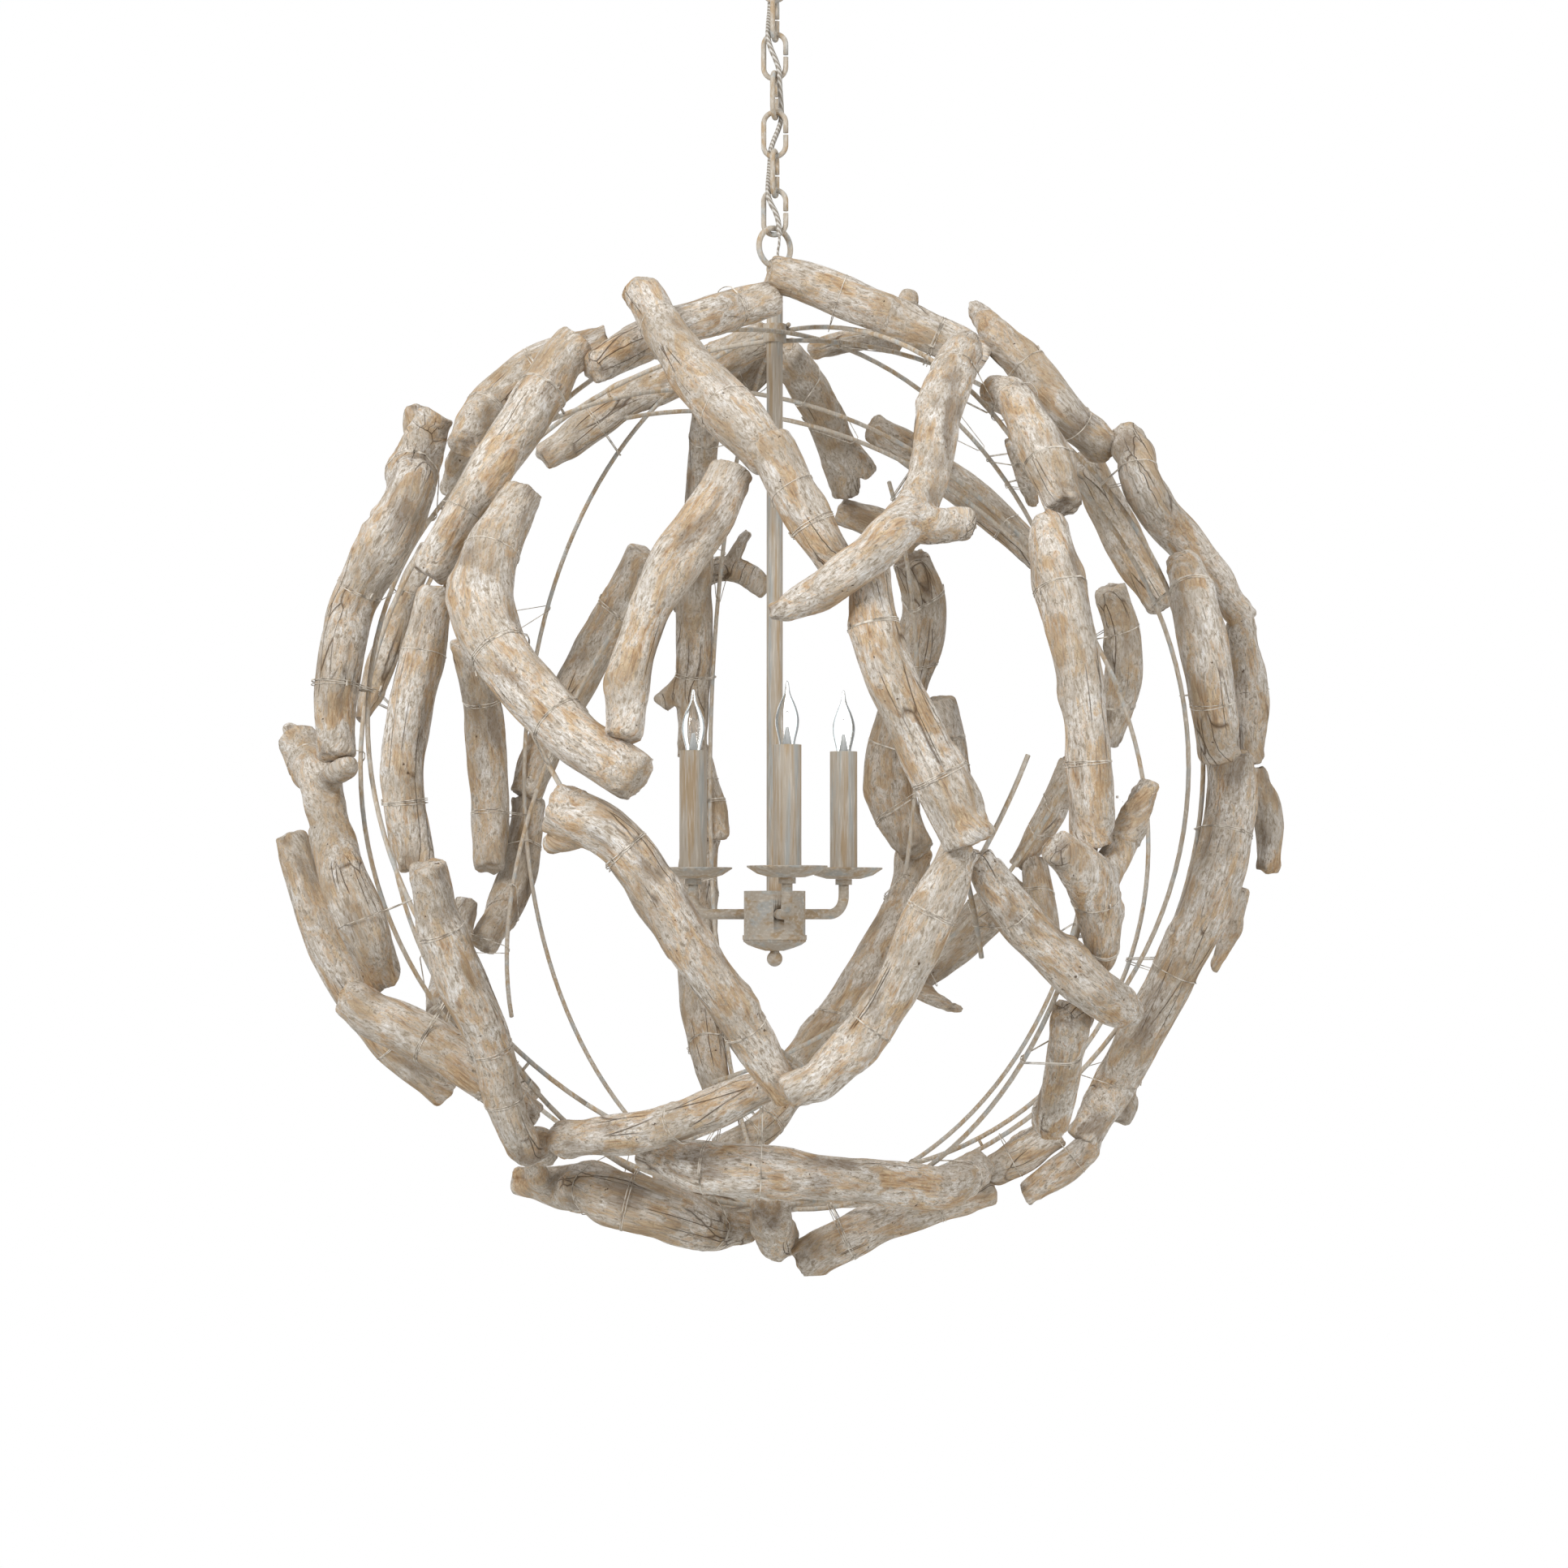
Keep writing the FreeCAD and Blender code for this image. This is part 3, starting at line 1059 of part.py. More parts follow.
def place_wrap(own, wanted, drift, reach, clear, holders, lined_up_share, slide):
    # Ties a branch near the wanted share of its length to the nearest thing the wire can hold.
    samples = BRANCH_SAMPLES[own][:ROUTE_COUNTS[own]]
    last = len(samples) - 1
    order = sorted(range(last + 1), key=lambda k: abs(k / last - wanted))
    for index in order:
        if abs(index / last - wanted) > drift:
            break
        for cost, loop in belts_from(samples[index], own, reach, holders, lined_up_share, slide):
            if is_free(loop, clear):
                LOOPS.append(loop)
                return True
    return False


def belts_from(sample, own, reach, holders, lined_up_share, slide):
    # The shortest loop round each rod or branch within reach, rods first.
    place, radius, along = sample
    found = []
    for name, samples in holders.items():
        if name == own:
            continue
        best = None
        for anchor in samples:
            gap = (anchor[0] - place).Length - radius - anchor[1]
            lined_up = abs(along.dot(anchor[2]))
            if gap > reach or lined_up < lined_up_share:
                continue
            cost = gap + (1 - lined_up) * BINDING_TURN_COST + (0 if name in ROD_SAMPLES else BINDING_REACH)
            if best is None or cost < best[0]:
                loop = belt(place, along, radius * BINDING_SLIP_SHARE, anchor, slide)
                if loop:
                    loop["holds"] = (own, name)
                    best = (cost, loop)
        if best:
            found.append(best)
    return sorted(found, key=lambda row: row[0])


def is_free(loop, clear):
    points = belt_points(loop, 12)
    spare = BINDING_WIRE / 2 + clear
    middle = (loop["place"] + loop["across"]) * 0.5
    wide = loop["span"] / 2 + loop["big"] + BINDING_WIRE
    for group_samples in (BRANCH_SAMPLES, ROD_SAMPLES):
        for name, samples in group_samples.items():
            apart = BINDING_WIRE / 2 + BINDING_HELD_GAP if name in loop["holds"] else spare
            for place, radius, along in samples:
                if (place - middle).Length > wide + radius + apart:
                    continue
                for point in points:
                    if (point - place).Length < radius + apart:
                        return False
    for other in LOOPS:
        if (other["place"] - loop["place"]).Length > other["span"] + loop["span"] + 4 * WOOD_STATION:
            continue
        for point in points:
            for near in other["points"]:
                if (point - near).Length < 2 * BINDING_WIRE + spare:
                    return False
    loop["points"] = points
    return True


def held_fast():
    # All that is tied, by one wrap or by several, to the welded rods.
    fast = {name: ROD_SAMPLES[name] for name in WELDED}
    grew = True
    while grew:
        grew = False
        for loop in LOOPS:
            own, name = loop["holds"]
            for one, two in ((own, name), (name, own)):
                if two in fast and one not in fast:
                    fast[one] = BRANCH_SAMPLES[one] if one in BRANCH_SAMPLES else ROD_SAMPLES[one]
                    grew = True
    return fast


def wrap_shares(count):
    # Where along a branch it is tied: a longer one in more places.
    if count < TWO_WRAPS_COUNT:
        return SHORT_WRAP_SHARES
    if count < THREE_WRAPS_COUNT:
        return LONG_WRAP_SHARES
    return LONGEST_WRAP_SHARES


# Supply cord: in at the canopy's bushing, down through the links by turns, into the stem's eye.
# It is in four lengths, one to each thing that swings.

def cord_corner(quarter, z):
    # A place beside the chain, in the corner between one link and the next.
    angle = math.radians(CHAIN_YAW_DEG - 45 + 90 * quarter)
    reach = CORD_OFFSET * math.sqrt(2)
    return Vector(reach * math.cos(angle), reach * math.sin(angle), z)


def cord_tube(points, diameter):
    radii = widest_radii(points)
    path = rounded_path(points, radii)
    tube = swept(path, diameter)
    exact = math.pi * diameter ** 2 / 4 * path.Length
    print("cord", round(path.Length, 1), "mm, tightest bend", round(min(radii), 1),
          "mm, volume share", round(tube.Volume / exact, 4))
    return tube


def make_cord_canopy():
    x = CORD_BUSHING_OFFSET
    low = cord_corner(0, LOOP_LOW_Z + CORD_HINGE_GAP / 2)
    top = -CANOPY_DEPTH + CORD_BUSHING_DEPTH
    aside = LOOP_RADIUS + LOOP_WIRE + CORD_DIAMETER / 2
    return cord_tube([Vector(x, 0, top), Vector(x, 0, LOOP_Z + LOOP_RADIUS + LOOP_WIRE),
                      Vector(aside, low.y * 0.9, LOOP_Z + LOOP_WIRE / 2), low], CORD_DIAMETER)


def make_cord_top():
    high = LOOP_LOW_Z - CORD_HINGE_GAP / 2
    low = TOP_LINK_LOW_Z + CORD_HINGE_GAP / 2
    return cord_tube([cord_corner(0, high), cord_corner(0, high - CORD_END_UPRIGHT),
                      cord_corner(1, low + CORD_END_UPRIGHT), cord_corner(1, low)], CORD_DIAMETER)


def make_cord_chain():
    points = [cord_corner(1, TOP_LINK_LOW_Z - CORD_HINGE_GAP / 2)]
    for index in range(1, CHAIN_LINK_COUNT + 1):
        middle = TOP_LINK_Z - index * LINK_PITCH
        above = CORD_END_UPRIGHT if index == 1 else CORD_UPRIGHT
        below = CORD_END_UPRIGHT if index == CHAIN_LINK_COUNT else CORD_UPRIGHT
        points.append(cord_corner(index, middle + LINK_PITCH / 2 - above))
        points.append(cord_corner(index + 1, middle - LINK_PITCH / 2 + below))
    points.append(cord_corner(CHAIN_LINK_COUNT + 1, LAST_LINK_LOW_Z + CORD_HINGE_GAP / 2))
    return cord_tube(points, CORD_DIAMETER)


def make_cord_eye():
    # The bared lead beside the ring, ending just over the eye's cheek.
    yaw = math.radians(RING_YAW_DEG - 90)
    start = cord_corner(CHAIN_LINK_COUNT + 1, LAST_LINK_LOW_Z - CORD_HINGE_GAP / 2)
    cheek = math.sqrt((EYE_DIAMETER / 2) ** 2 - LEAD_OFFSET ** 2)
    end = Vector(LEAD_OFFSET * math.cos(yaw), LEAD_OFFSET * math.sin(yaw),
                 EYE_HOLE_Z + cheek + LEAD_DIAMETER / 2)
    return cord_tube([start, start - UP * LEAD_UPRIGHT, end + UP * LEAD_UPRIGHT, end], LEAD_DIAMETER)


def write_hardware():
    save("mounting_strap", make_mounting_strap())
    save("threaded_nipple", make_nipple())
    save("nipple_locknut", make_locknut())
    save("ceiling_canopy", make_canopy())
    save("canopy_collar_nut", make_collar_nut())
    save("canopy_loop", make_canopy_loop())
    save("cord_bushing", make_cord_bushing())
    save("top_link", make_link(TOP_LINK_Z, CHAIN_YAW_DEG + 90))
    save("chain_links", make_chain_links())
    save("hanging_ring", make_ring())
    save("supply_cord_canopy", make_cord_canopy())
    save("supply_cord_top", make_cord_top())
    save("supply_cord_chain", make_cord_chain())
    save("supply_cord_eye", make_cord_eye())
    save("stem_eye", make_stem_eye())
    save("centre_stem", make_stem())
    save("frame_top_collar", make_top_collar())


def write_lamp():
    save("lamp_hub", make_hub())
    save("hub_cap", make_hub_cap())
    save("finial", make_finial())
    save("lamp_arms", group([around_axis(make_arm(), ARM_FIRST_AZIMUTH_DEG + k * 360 / ARM_COUNT)
                             for k in range(ARM_COUNT)]))
    save("arm_ring_nuts", group([at_arm(make_ring_nut(), k) for k in range(ARM_COUNT)]))
    save("drip_pans", group([at_arm(make_pan(), k) for k in range(ARM_COUNT)]))
    save("candle_sleeves", group([at_arm(make_sleeve(), k) for k in range(ARM_COUNT)]))
    save("lamp_sockets", group([at_arm(make_socket(), k) for k in range(ARM_COUNT)]))
    for index in range(ARM_COUNT):
        save("bulb_base_" + str(index + 1), at_arm(make_bulb_base(), index))
        save("bulb_glass_" + str(index + 1), at_arm(make_bulb_glass(), index))


ROD_SAMPLES = {}
WELDED = []
BRANCH_SAMPLES = {}
LOOPS = []
ROUTE_COUNTS = {}


def write_frame():
    rods = [polar_hoop(*row) for row in POLAR_HOOPS_PX] + [tilted_hoop(*row) for row in TILTED_HOOPS_PX]
    sectors = []
    for index, rod in enumerate(rods):
        sectors += hoop_sectors(rod)
        ROD_SAMPLES["rod" + str(index)] = hoop_samples(rod)
    save("frame_hoops", group(sectors + weld_posts(rods)))


def write_driftwood():
    laid = []
    for samples in ROD_SAMPLES.values():
        laid += [(place, radius, along, WOOD_ROD_GAP) for place, radius, along in samples]
    for name, rows in DRIFTWOOD_PX.items():
        branches = []
        for index, (side, route, stubs) in enumerate(rows):
            stations = lay_branch(side, route, laid)
            laid_stubs = lay_stubs(stations, side, stubs)
            branch = wood_loft(stations)
            samples = wood_samples(branch, LOFT_SPLITS * (len(stations) - 1))
            ROUTE_COUNTS[name + str(index)] = len(samples)
            for stub in laid_stubs:
                fork = wood_loft(stub)
                samples += wood_samples(fork, LOFT_SPLITS * (len(stub) - 1))
                branch = branch.fuse(fork)
            laid += [(place, radius, along, WOOD_GAP) for place, radius, along in samples]
            BRANCH_SAMPLES[name + str(index)] = samples
            branches.append(branch)
        save(name, group(branches))


def write_binding():
    everything = dict(ROD_SAMPLES)
    everything.update(BRANCH_SAMPLES)
    for name in BRANCH_SAMPLES:
        for wanted in wrap_shares(ROUTE_COUNTS[name]):
            place_wrap(name, wanted, BINDING_DRIFT_SHARE, BINDING_REACH, BINDING_CLEAR, everything,
                       LINED_UP_SHARE, BINDING_SLIDE)
    for turn in range(4):
        fast = held_fast()
        for name in BRANCH_SAMPLES:
            if name not in fast and place_wrap(name, 0.5, 1, BINDING_LONG_REACH, BINDING_CLOSE, fast,
                                               CROSSED_SHARE, BINDING_LONG_SLIDE):
                fast = held_fast()
    for name in BRANCH_SAMPLES:
        if name not in fast:
            print("not held", name)
    # In three lots: the rear third of the loops, then the left and right halves of the rest.
    by_depth = sorted(LOOPS, key=lambda loop: loop["place"].y)
    front_count = math.ceil(len(by_depth) * FRONT_LOOPS_SHARE)
    front = sorted(by_depth[:front_count], key=lambda loop: loop["place"].x)
    middle = front_count // 2
    for name, lot in (("binding_wires_rear", by_depth[front_count:]), ("binding_wires_left", front[:middle]),
                      ("binding_wires_right", front[middle:])):
        save(name, group([make_belt(loop) for loop in lot]))


os.makedirs("parts", exist_ok=True)
write_hardware()
write_lamp()
write_frame()
write_driftwood()
write_binding()
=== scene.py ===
import heapq
import json
import math
import random

import bpy
import numpy as np
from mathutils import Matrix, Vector, noise
from mathutils.bvhtree import BVHTree

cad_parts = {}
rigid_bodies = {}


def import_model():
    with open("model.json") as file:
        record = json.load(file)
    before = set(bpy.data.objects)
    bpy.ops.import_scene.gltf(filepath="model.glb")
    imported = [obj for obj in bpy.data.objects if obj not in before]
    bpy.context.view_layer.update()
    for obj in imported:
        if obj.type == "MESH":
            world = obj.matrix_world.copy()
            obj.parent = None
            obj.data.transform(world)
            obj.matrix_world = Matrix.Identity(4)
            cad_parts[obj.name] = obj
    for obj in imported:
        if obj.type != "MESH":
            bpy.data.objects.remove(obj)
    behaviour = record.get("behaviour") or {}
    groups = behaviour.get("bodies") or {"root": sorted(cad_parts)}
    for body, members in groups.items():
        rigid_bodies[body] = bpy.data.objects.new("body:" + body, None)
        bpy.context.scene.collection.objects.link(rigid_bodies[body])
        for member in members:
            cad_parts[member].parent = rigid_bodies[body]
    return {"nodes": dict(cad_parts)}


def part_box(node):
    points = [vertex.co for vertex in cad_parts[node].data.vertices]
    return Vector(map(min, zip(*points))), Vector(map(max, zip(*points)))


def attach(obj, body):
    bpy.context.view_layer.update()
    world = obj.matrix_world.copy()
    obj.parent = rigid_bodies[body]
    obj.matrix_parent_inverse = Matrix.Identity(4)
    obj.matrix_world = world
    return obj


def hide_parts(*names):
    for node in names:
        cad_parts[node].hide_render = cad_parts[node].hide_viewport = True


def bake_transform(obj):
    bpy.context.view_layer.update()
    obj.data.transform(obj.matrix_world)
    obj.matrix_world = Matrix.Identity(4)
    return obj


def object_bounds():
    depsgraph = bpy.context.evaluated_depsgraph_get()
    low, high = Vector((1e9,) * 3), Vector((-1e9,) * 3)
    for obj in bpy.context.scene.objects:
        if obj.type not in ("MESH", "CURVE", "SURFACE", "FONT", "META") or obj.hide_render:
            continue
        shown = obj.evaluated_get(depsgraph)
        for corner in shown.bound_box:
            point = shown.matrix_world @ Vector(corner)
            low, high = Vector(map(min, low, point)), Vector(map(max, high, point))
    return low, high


# Driftwood orb chandelier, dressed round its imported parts. Metres, with the origin at the ceiling.

for leftOver in list(bpy.data.objects):
    bpy.data.objects.remove(leftOver)
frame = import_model()
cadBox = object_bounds()
print("frame loaded")

bpy.context.scene.view_settings.view_transform = "Standard"
mm = 0.001
ballCentre = Vector((0, 0, -0.7989))


def toLinear(hexColour):
    # sRGB hex to the linear values that the shaders take
    values = []
    for k in (0, 2, 4):
        c = int(hexColour[k:k + 2], 16) / 255
        values.append(c / 12.92 if c <= 0.04045 else ((c + 0.055) / 1.055) ** 2.4)
    return (*values, 1)


def addNode(tree, kind, settings=None, links=None, stops=None):
    # settings: a property or a socket to its value; links: a socket to the node that feeds it;
    # stops: places and colours on a ramp. A node feeds others from its first working output.
    node = tree.nodes.new(kind)
    for key, value in (settings or {}).items():
        if isinstance(key, str) and hasattr(node, key):
            setattr(node, key, value)
        else:
            node.inputs[key].default_value = value
    for key, source in (links or {}).items():
        isSocket = isinstance(source, bpy.types.NodeSocket)
        output = source if isSocket else [o for o in source.outputs if o.enabled][0]
        tree.links.new(output, node.inputs[key])
    for index, (place, colour) in enumerate(stops or []):
        elements = node.color_ramp.elements
        element = elements[index] if index < len(elements) else elements.new(place)
        element.position = place
        element.color = toLinear(colour) if isinstance(colour, str) else (colour, colour, colour, 1)
    return node


def selectOnly(piece):
    bpy.ops.object.select_all(action="DESELECT")
    piece.select_set(True)
    bpy.context.view_layer.objects.active = piece


def curveToMesh(name, data):
    # a bevelled curve turned into a smooth mesh
    curve = bpy.data.objects.new(name, data)
    bpy.context.scene.collection.objects.link(curve)
    selectOnly(curve)
    bpy.ops.object.convert(target="MESH")
    bpy.context.object.data.shade_smooth()
    return bpy.context.object


def newMaterial(name):
    material = bpy.data.materials.new(name)
    material.use_nodes = True
    material.node_tree.nodes.clear()
    return material, material.node_tree


# Camera where the photograph was taken from, and the empty white room
view = {"eye": (0, -3.0, -0.9284), "aimedAt": (0.00805, 0, -0.8136), "lens": 79.85,
        "floorHeight": -1.95, "floorRadius": 1.25, "skyLight": 0.44}


def makeCamera():
    data = bpy.data.cameras.new("camera")
    data.lens = view["lens"]
    data.sensor_width = 36
    camera = bpy.data.objects.new("camera", data)
    bpy.context.scene.collection.objects.link(camera)
    camera.location = view["eye"]
    aim = Vector(view["aimedAt"]) - Vector(view["eye"])
    camera.rotation_euler = aim.to_track_quat("-Z", "Y").to_euler()
    bpy.context.scene.camera = camera


lights = [
    {"name": "keyLight", "place": (-1.9, -2.6, 0.75), "size": 1.6, "power": 84},
    {"name": "fillLight", "place": (2.3, -2.2, -0.2), "size": 2.4, "power": 38},
    {"name": "topLight", "place": (0.2, 0.4, 1.9), "size": 2.0, "power": 20},
    {"name": "rearLight", "place": (-0.6, 2.6, -0.2), "size": 2.0, "power": 16},
]


def makeLights():
    for light in lights:
        data = bpy.data.lights.new(light["name"], "AREA")
        data.shape = "DISK"
        data.size = light["size"]
        data.energy = light["power"]
        lamp = bpy.data.objects.new(light["name"], data)
        bpy.context.scene.collection.objects.link(lamp)
        lamp.location = light["place"]
        aim = ballCentre - Vector(light["place"])
        lamp.rotation_euler = aim.to_track_quat("-Z", "Y").to_euler()


def makeRoom():
    world = bpy.data.worlds.new("whiteRoom")
    bpy.context.scene.world = world
    world.use_nodes = True
    tree = world.node_tree
    tree.nodes.clear()
    path = addNode(tree, "ShaderNodeLightPath")
    seen = addNode(tree, "ShaderNodeMath", {"operation": "MAXIMUM"},
                   {0: path.outputs["Is Camera Ray"], 1: path.outputs["Is Glossy Ray"]})
    seen = addNode(tree, "ShaderNodeMath", {"operation": "MAXIMUM"},
                   {0: seen, 1: path.outputs["Is Transmission Ray"]})
    shown = addNode(tree, "ShaderNodeBackground", {"Color": (1, 1, 1, 1), "Strength": 1.0})
    lit = addNode(tree, "ShaderNodeBackground", {"Color": toLinear("F4F6FA"), "Strength": view["skyLight"]})
    both = addNode(tree, "ShaderNodeMixShader", {}, {0: seen, 1: lit, 2: shown})
    addNode(tree, "ShaderNodeOutputWorld", links={"Surface": both})
    bpy.ops.object.select_all(action="DESELECT")
    bpy.ops.mesh.primitive_circle_add(vertices=96, radius=view["floorRadius"], fill_type="NGON",
                                      location=(0, 0, view["floorHeight"]))
    floor = bpy.context.object
    floor.name = "floor"
    material, tree = newMaterial("matt pale floor paint")
    # Matt wall paint, rolled on: pale, with no gloss and a faint orange-peel grain
    place = addNode(tree, "ShaderNodeTexCoord").outputs["Object"]
    peel = addNode(tree, "ShaderNodeTexNoise", {"Scale": 260.0}, {"Vector": place})
    bump = addNode(tree, "ShaderNodeBump", {"Strength": 0.1, "Distance": 0.0004}, {"Height": peel})
    shader = addNode(tree, "ShaderNodeBsdfPrincipled", {"Base Color": toLinear("E9E8E4"), "Roughness": 0.8},
                     {"Normal": bump})
    addNode(tree, "ShaderNodeOutputMaterial", links={"Surface": shader})
    floor.data.materials.append(material)


makeCamera()
makeLights()
makeRoom()
print("camera, lights and room made")


# Driftwood: white-washed over bare wood, the wash rubbed off the ridges, with splits along the grain
# lengths in millimetres; leastEnd is an area; of the two grey shares, the rear one is painted shade that
# greys the pieces at the back, and the odd one a random grey for each piece
wood = {"voxel": 2.3, "smoothShare": 0.6, "smoothTurns": 4, "spineStep": 12.0,
        "grow": 15.0, "leastEnd": 250, "leastEndFaces": 8, "endReach": 14.0, "endRough": 2.4,
        "swell": 0.9, "bulge": 2.6, "lump": 1.6, "ridge": 0.7, "grooveShare": 1.5,
        "knotHeight": 4.0, "knotEvery": 110.0, "knotLeast": 7.0, "knotMost": 12.0, "knotSpread": 17.0,
        "rearShade": 0.24, "oddGrey": 0.12, "boxClearance": 0.2}


def washedWood():
    # Driftwood under a thin brushed lime wash: matt and dry all over, chalky with a fine crackle,
    # and warm in soft patches where the wash has worn thin. Splits and pits are few and small.
    material, tree = newMaterial("lime-washed driftwood")
    grain = addNode(tree, "ShaderNodeAttribute", {"attribute_name": "grain"}).outputs["Vector"]
    height = addNode(tree, "ShaderNodeAttribute", {"attribute_name": "height"}).outputs["Fac"]
    rearShadeAndTone = addNode(tree, "ShaderNodeAttribute", {"attribute_name": "rearShadeAndTone"}).outputs["Fac"]
    place = addNode(tree, "ShaderNodeTexCoord").outputs["Object"]
    # worn patches are about 14 mm across the grain and 35 mm along it
    alongPatch = addNode(tree, "ShaderNodeMapping", {"Scale": (1, 1, 0.40)}, {"Vector": grain})
    patches = addNode(tree, "ShaderNodeTexNoise",
                      {"Scale": 72.0, "Detail": 5.0, "Roughness": 0.66, "Distortion": 0.6},
                      {"Vector": alongPatch})
    # fibres are 1.6 mm across, coarser than real ones so that they show, and 16 mm long
    alongFibre = addNode(tree, "ShaderNodeMapping", {"Scale": (1, 1, 0.10)}, {"Vector": grain})
    fibres = addNode(tree, "ShaderNodeTexNoise", {"Scale": 620.0, "Detail": 3.0, "Roughness": 0.6},
                     {"Vector": alongFibre})
    # crackle in the wash, about 2.5 mm, a little drawn out along the grain
    alongCrackle = addNode(tree, "ShaderNodeMapping", {"Scale": (1, 1, 0.42)}, {"Vector": grain})
    crackle = addNode(tree, "ShaderNodeTexNoise",
                      {"Scale": 400.0, "Detail": 5.0, "Roughness": 0.72, "Distortion": 0.4},
                      {"Vector": alongCrackle})
    worn = addNode(tree, "ShaderNodeMath", {"operation": "MULTIPLY_ADD", 1: 0.5, 2: 0.0}, {0: patches})
    worn = addNode(tree, "ShaderNodeMath", {"operation": "MULTIPLY_ADD", 1: 0.02}, {0: height, 2: worn})
    worn = addNode(tree, "ShaderNodeMath", {"operation": "MULTIPLY_ADD", 1: 0.16}, {0: fibres, 2: worn})
    worn = addNode(tree, "ShaderNodeMath", {"operation": "MULTIPLY_ADD", 1: 0.34}, {0: crackle, 2: worn})
    bareShare = addNode(tree, "ShaderNodeValToRGB", {}, {"Fac": worn},
                        [(0.506, 0.0), (0.533, 0.6), (0.58, 0.92)])
    bare = addNode(tree, "ShaderNodeValToRGB", {}, {"Fac": fibres},
                   [(0.35, "85623E"), (0.48, "B99366"), (0.64, "DAC19B")])
    chalk = addNode(tree, "ShaderNodeValToRGB", {}, {"Fac": crackle},
                    [(0.37, "A09280"), (0.45, "D4C9BA"), (0.53, "EDE6DC"), (0.62, "FFFDFA")])
    streak = addNode(tree, "ShaderNodeValToRGB", {}, {"Fac": fibres}, [(0.38, 0.52), (0.48, 0.0)])
    chalk = addNode(tree, "ShaderNodeMix", {"data_type": "RGBA", 7: toLinear("AA9A84")},
                    {0: streak, 6: chalk})
    colour = addNode(tree, "ShaderNodeMix", {"data_type": "RGBA"}, {0: bareShare, 6: chalk, 7: bare})
    # painted shade: the pieces at the back are greyed, with some random grey for each piece besides
    colour = addNode(tree, "ShaderNodeMix", {"data_type": "RGBA", 7: toLinear("A39480")},
                     {0: rearShadeAndTone, 6: colour})
    # dulled areas, about 50 mm, where the wash has taken up dust and gone grey
    dulled = addNode(tree, "ShaderNodeTexNoise", {"Scale": 20.0, "Detail": 3.0, "Roughness": 0.6},
                     {"Vector": place})
    dulled = addNode(tree, "ShaderNodeValToRGB", {}, {"Fac": dulled}, [(0.40, 0.42), (0.56, 0.0)])
    colour = addNode(tree, "ShaderNodeMix", {"data_type": "RGBA", 7: toLinear("A39581")},
                     {0: dulled, 6: colour})
    # grime and painted shade in the hollows that the carving leaves: the lower the carved height, the darker
    # and browner
    hollowGrimeAndShade = addNode(tree, "ShaderNodeMath", {"operation": "MULTIPLY_ADD", 1: 0.5, 2: 0.5}, {0: height})
    hollowGrimeAndShade = addNode(tree, "ShaderNodeValToRGB", {}, {"Fac": hollowGrimeAndShade}, [(0.25, 0.6), (0.52, 0.0)])
    colour = addNode(tree, "ShaderNodeMix", {"data_type": "RGBA", 7: toLinear("7A6650")},
                     {0: hollowGrimeAndShade, 6: colour})
    # crazing: the wash has cracked into flakes of about 4 by 8 mm
    alongFlake = addNode(tree, "ShaderNodeMapping", {"Scale": (1, 1, 0.5)}, {"Vector": grain})
    warp = addNode(tree, "ShaderNodeTexNoise", {"Scale": 300.0, "Detail": 2.0}, {"Vector": grain})
    warped = addNode(tree, "ShaderNodeVectorMath", {"operation": "MULTIPLY_ADD", 1: (0.004, 0.004, 0.004)},
                     {0: warp.outputs["Color"], 2: alongFlake})
    flakes = addNode(tree, "ShaderNodeTexVoronoi", {"feature": "DISTANCE_TO_EDGE", "Scale": 250.0},
                     {"Vector": warped})
    craze = addNode(tree, "ShaderNodeValToRGB", {}, {"Fac": flakes},
                    [(0.0, 0.55), (0.03, 0.3), (0.07, 0.0)])
    crazed = addNode(tree, "ShaderNodeValToRGB", {}, {"Fac": fibres}, [(0.50, 0.0), (0.60, 1.0)])
    craze = addNode(tree, "ShaderNodeMath", {"operation": "MULTIPLY"}, {0: craze, 1: crazed})
    colour = addNode(tree, "ShaderNodeMix", {"data_type": "RGBA", 7: toLinear("7F6B55")},
                     {0: craze, 6: colour})
    # splits: hair lines along the grain, only in some places
    alongSplit = addNode(tree, "ShaderNodeMapping", {"Scale": (1, 1, 0.09)}, {"Vector": grain})
    cell = addNode(tree, "ShaderNodeTexVoronoi", {"feature": "DISTANCE_TO_EDGE", "Scale": 90.0},
                   {"Vector": alongSplit})
    line = addNode(tree, "ShaderNodeValToRGB", {}, {"Fac": cell}, [(0.0, 0.85), (0.012, 0.5), (0.03, 0.0)])
    where = addNode(tree, "ShaderNodeTexNoise", {"Scale": 26.0, "Detail": 2.0}, {"Vector": alongPatch})
    where = addNode(tree, "ShaderNodeValToRGB", {}, {"Fac": where}, [(0.57, 0.0), (0.63, 1.0)])
    splits = addNode(tree, "ShaderNodeMath", {"operation": "MULTIPLY"}, {0: line, 1: where})
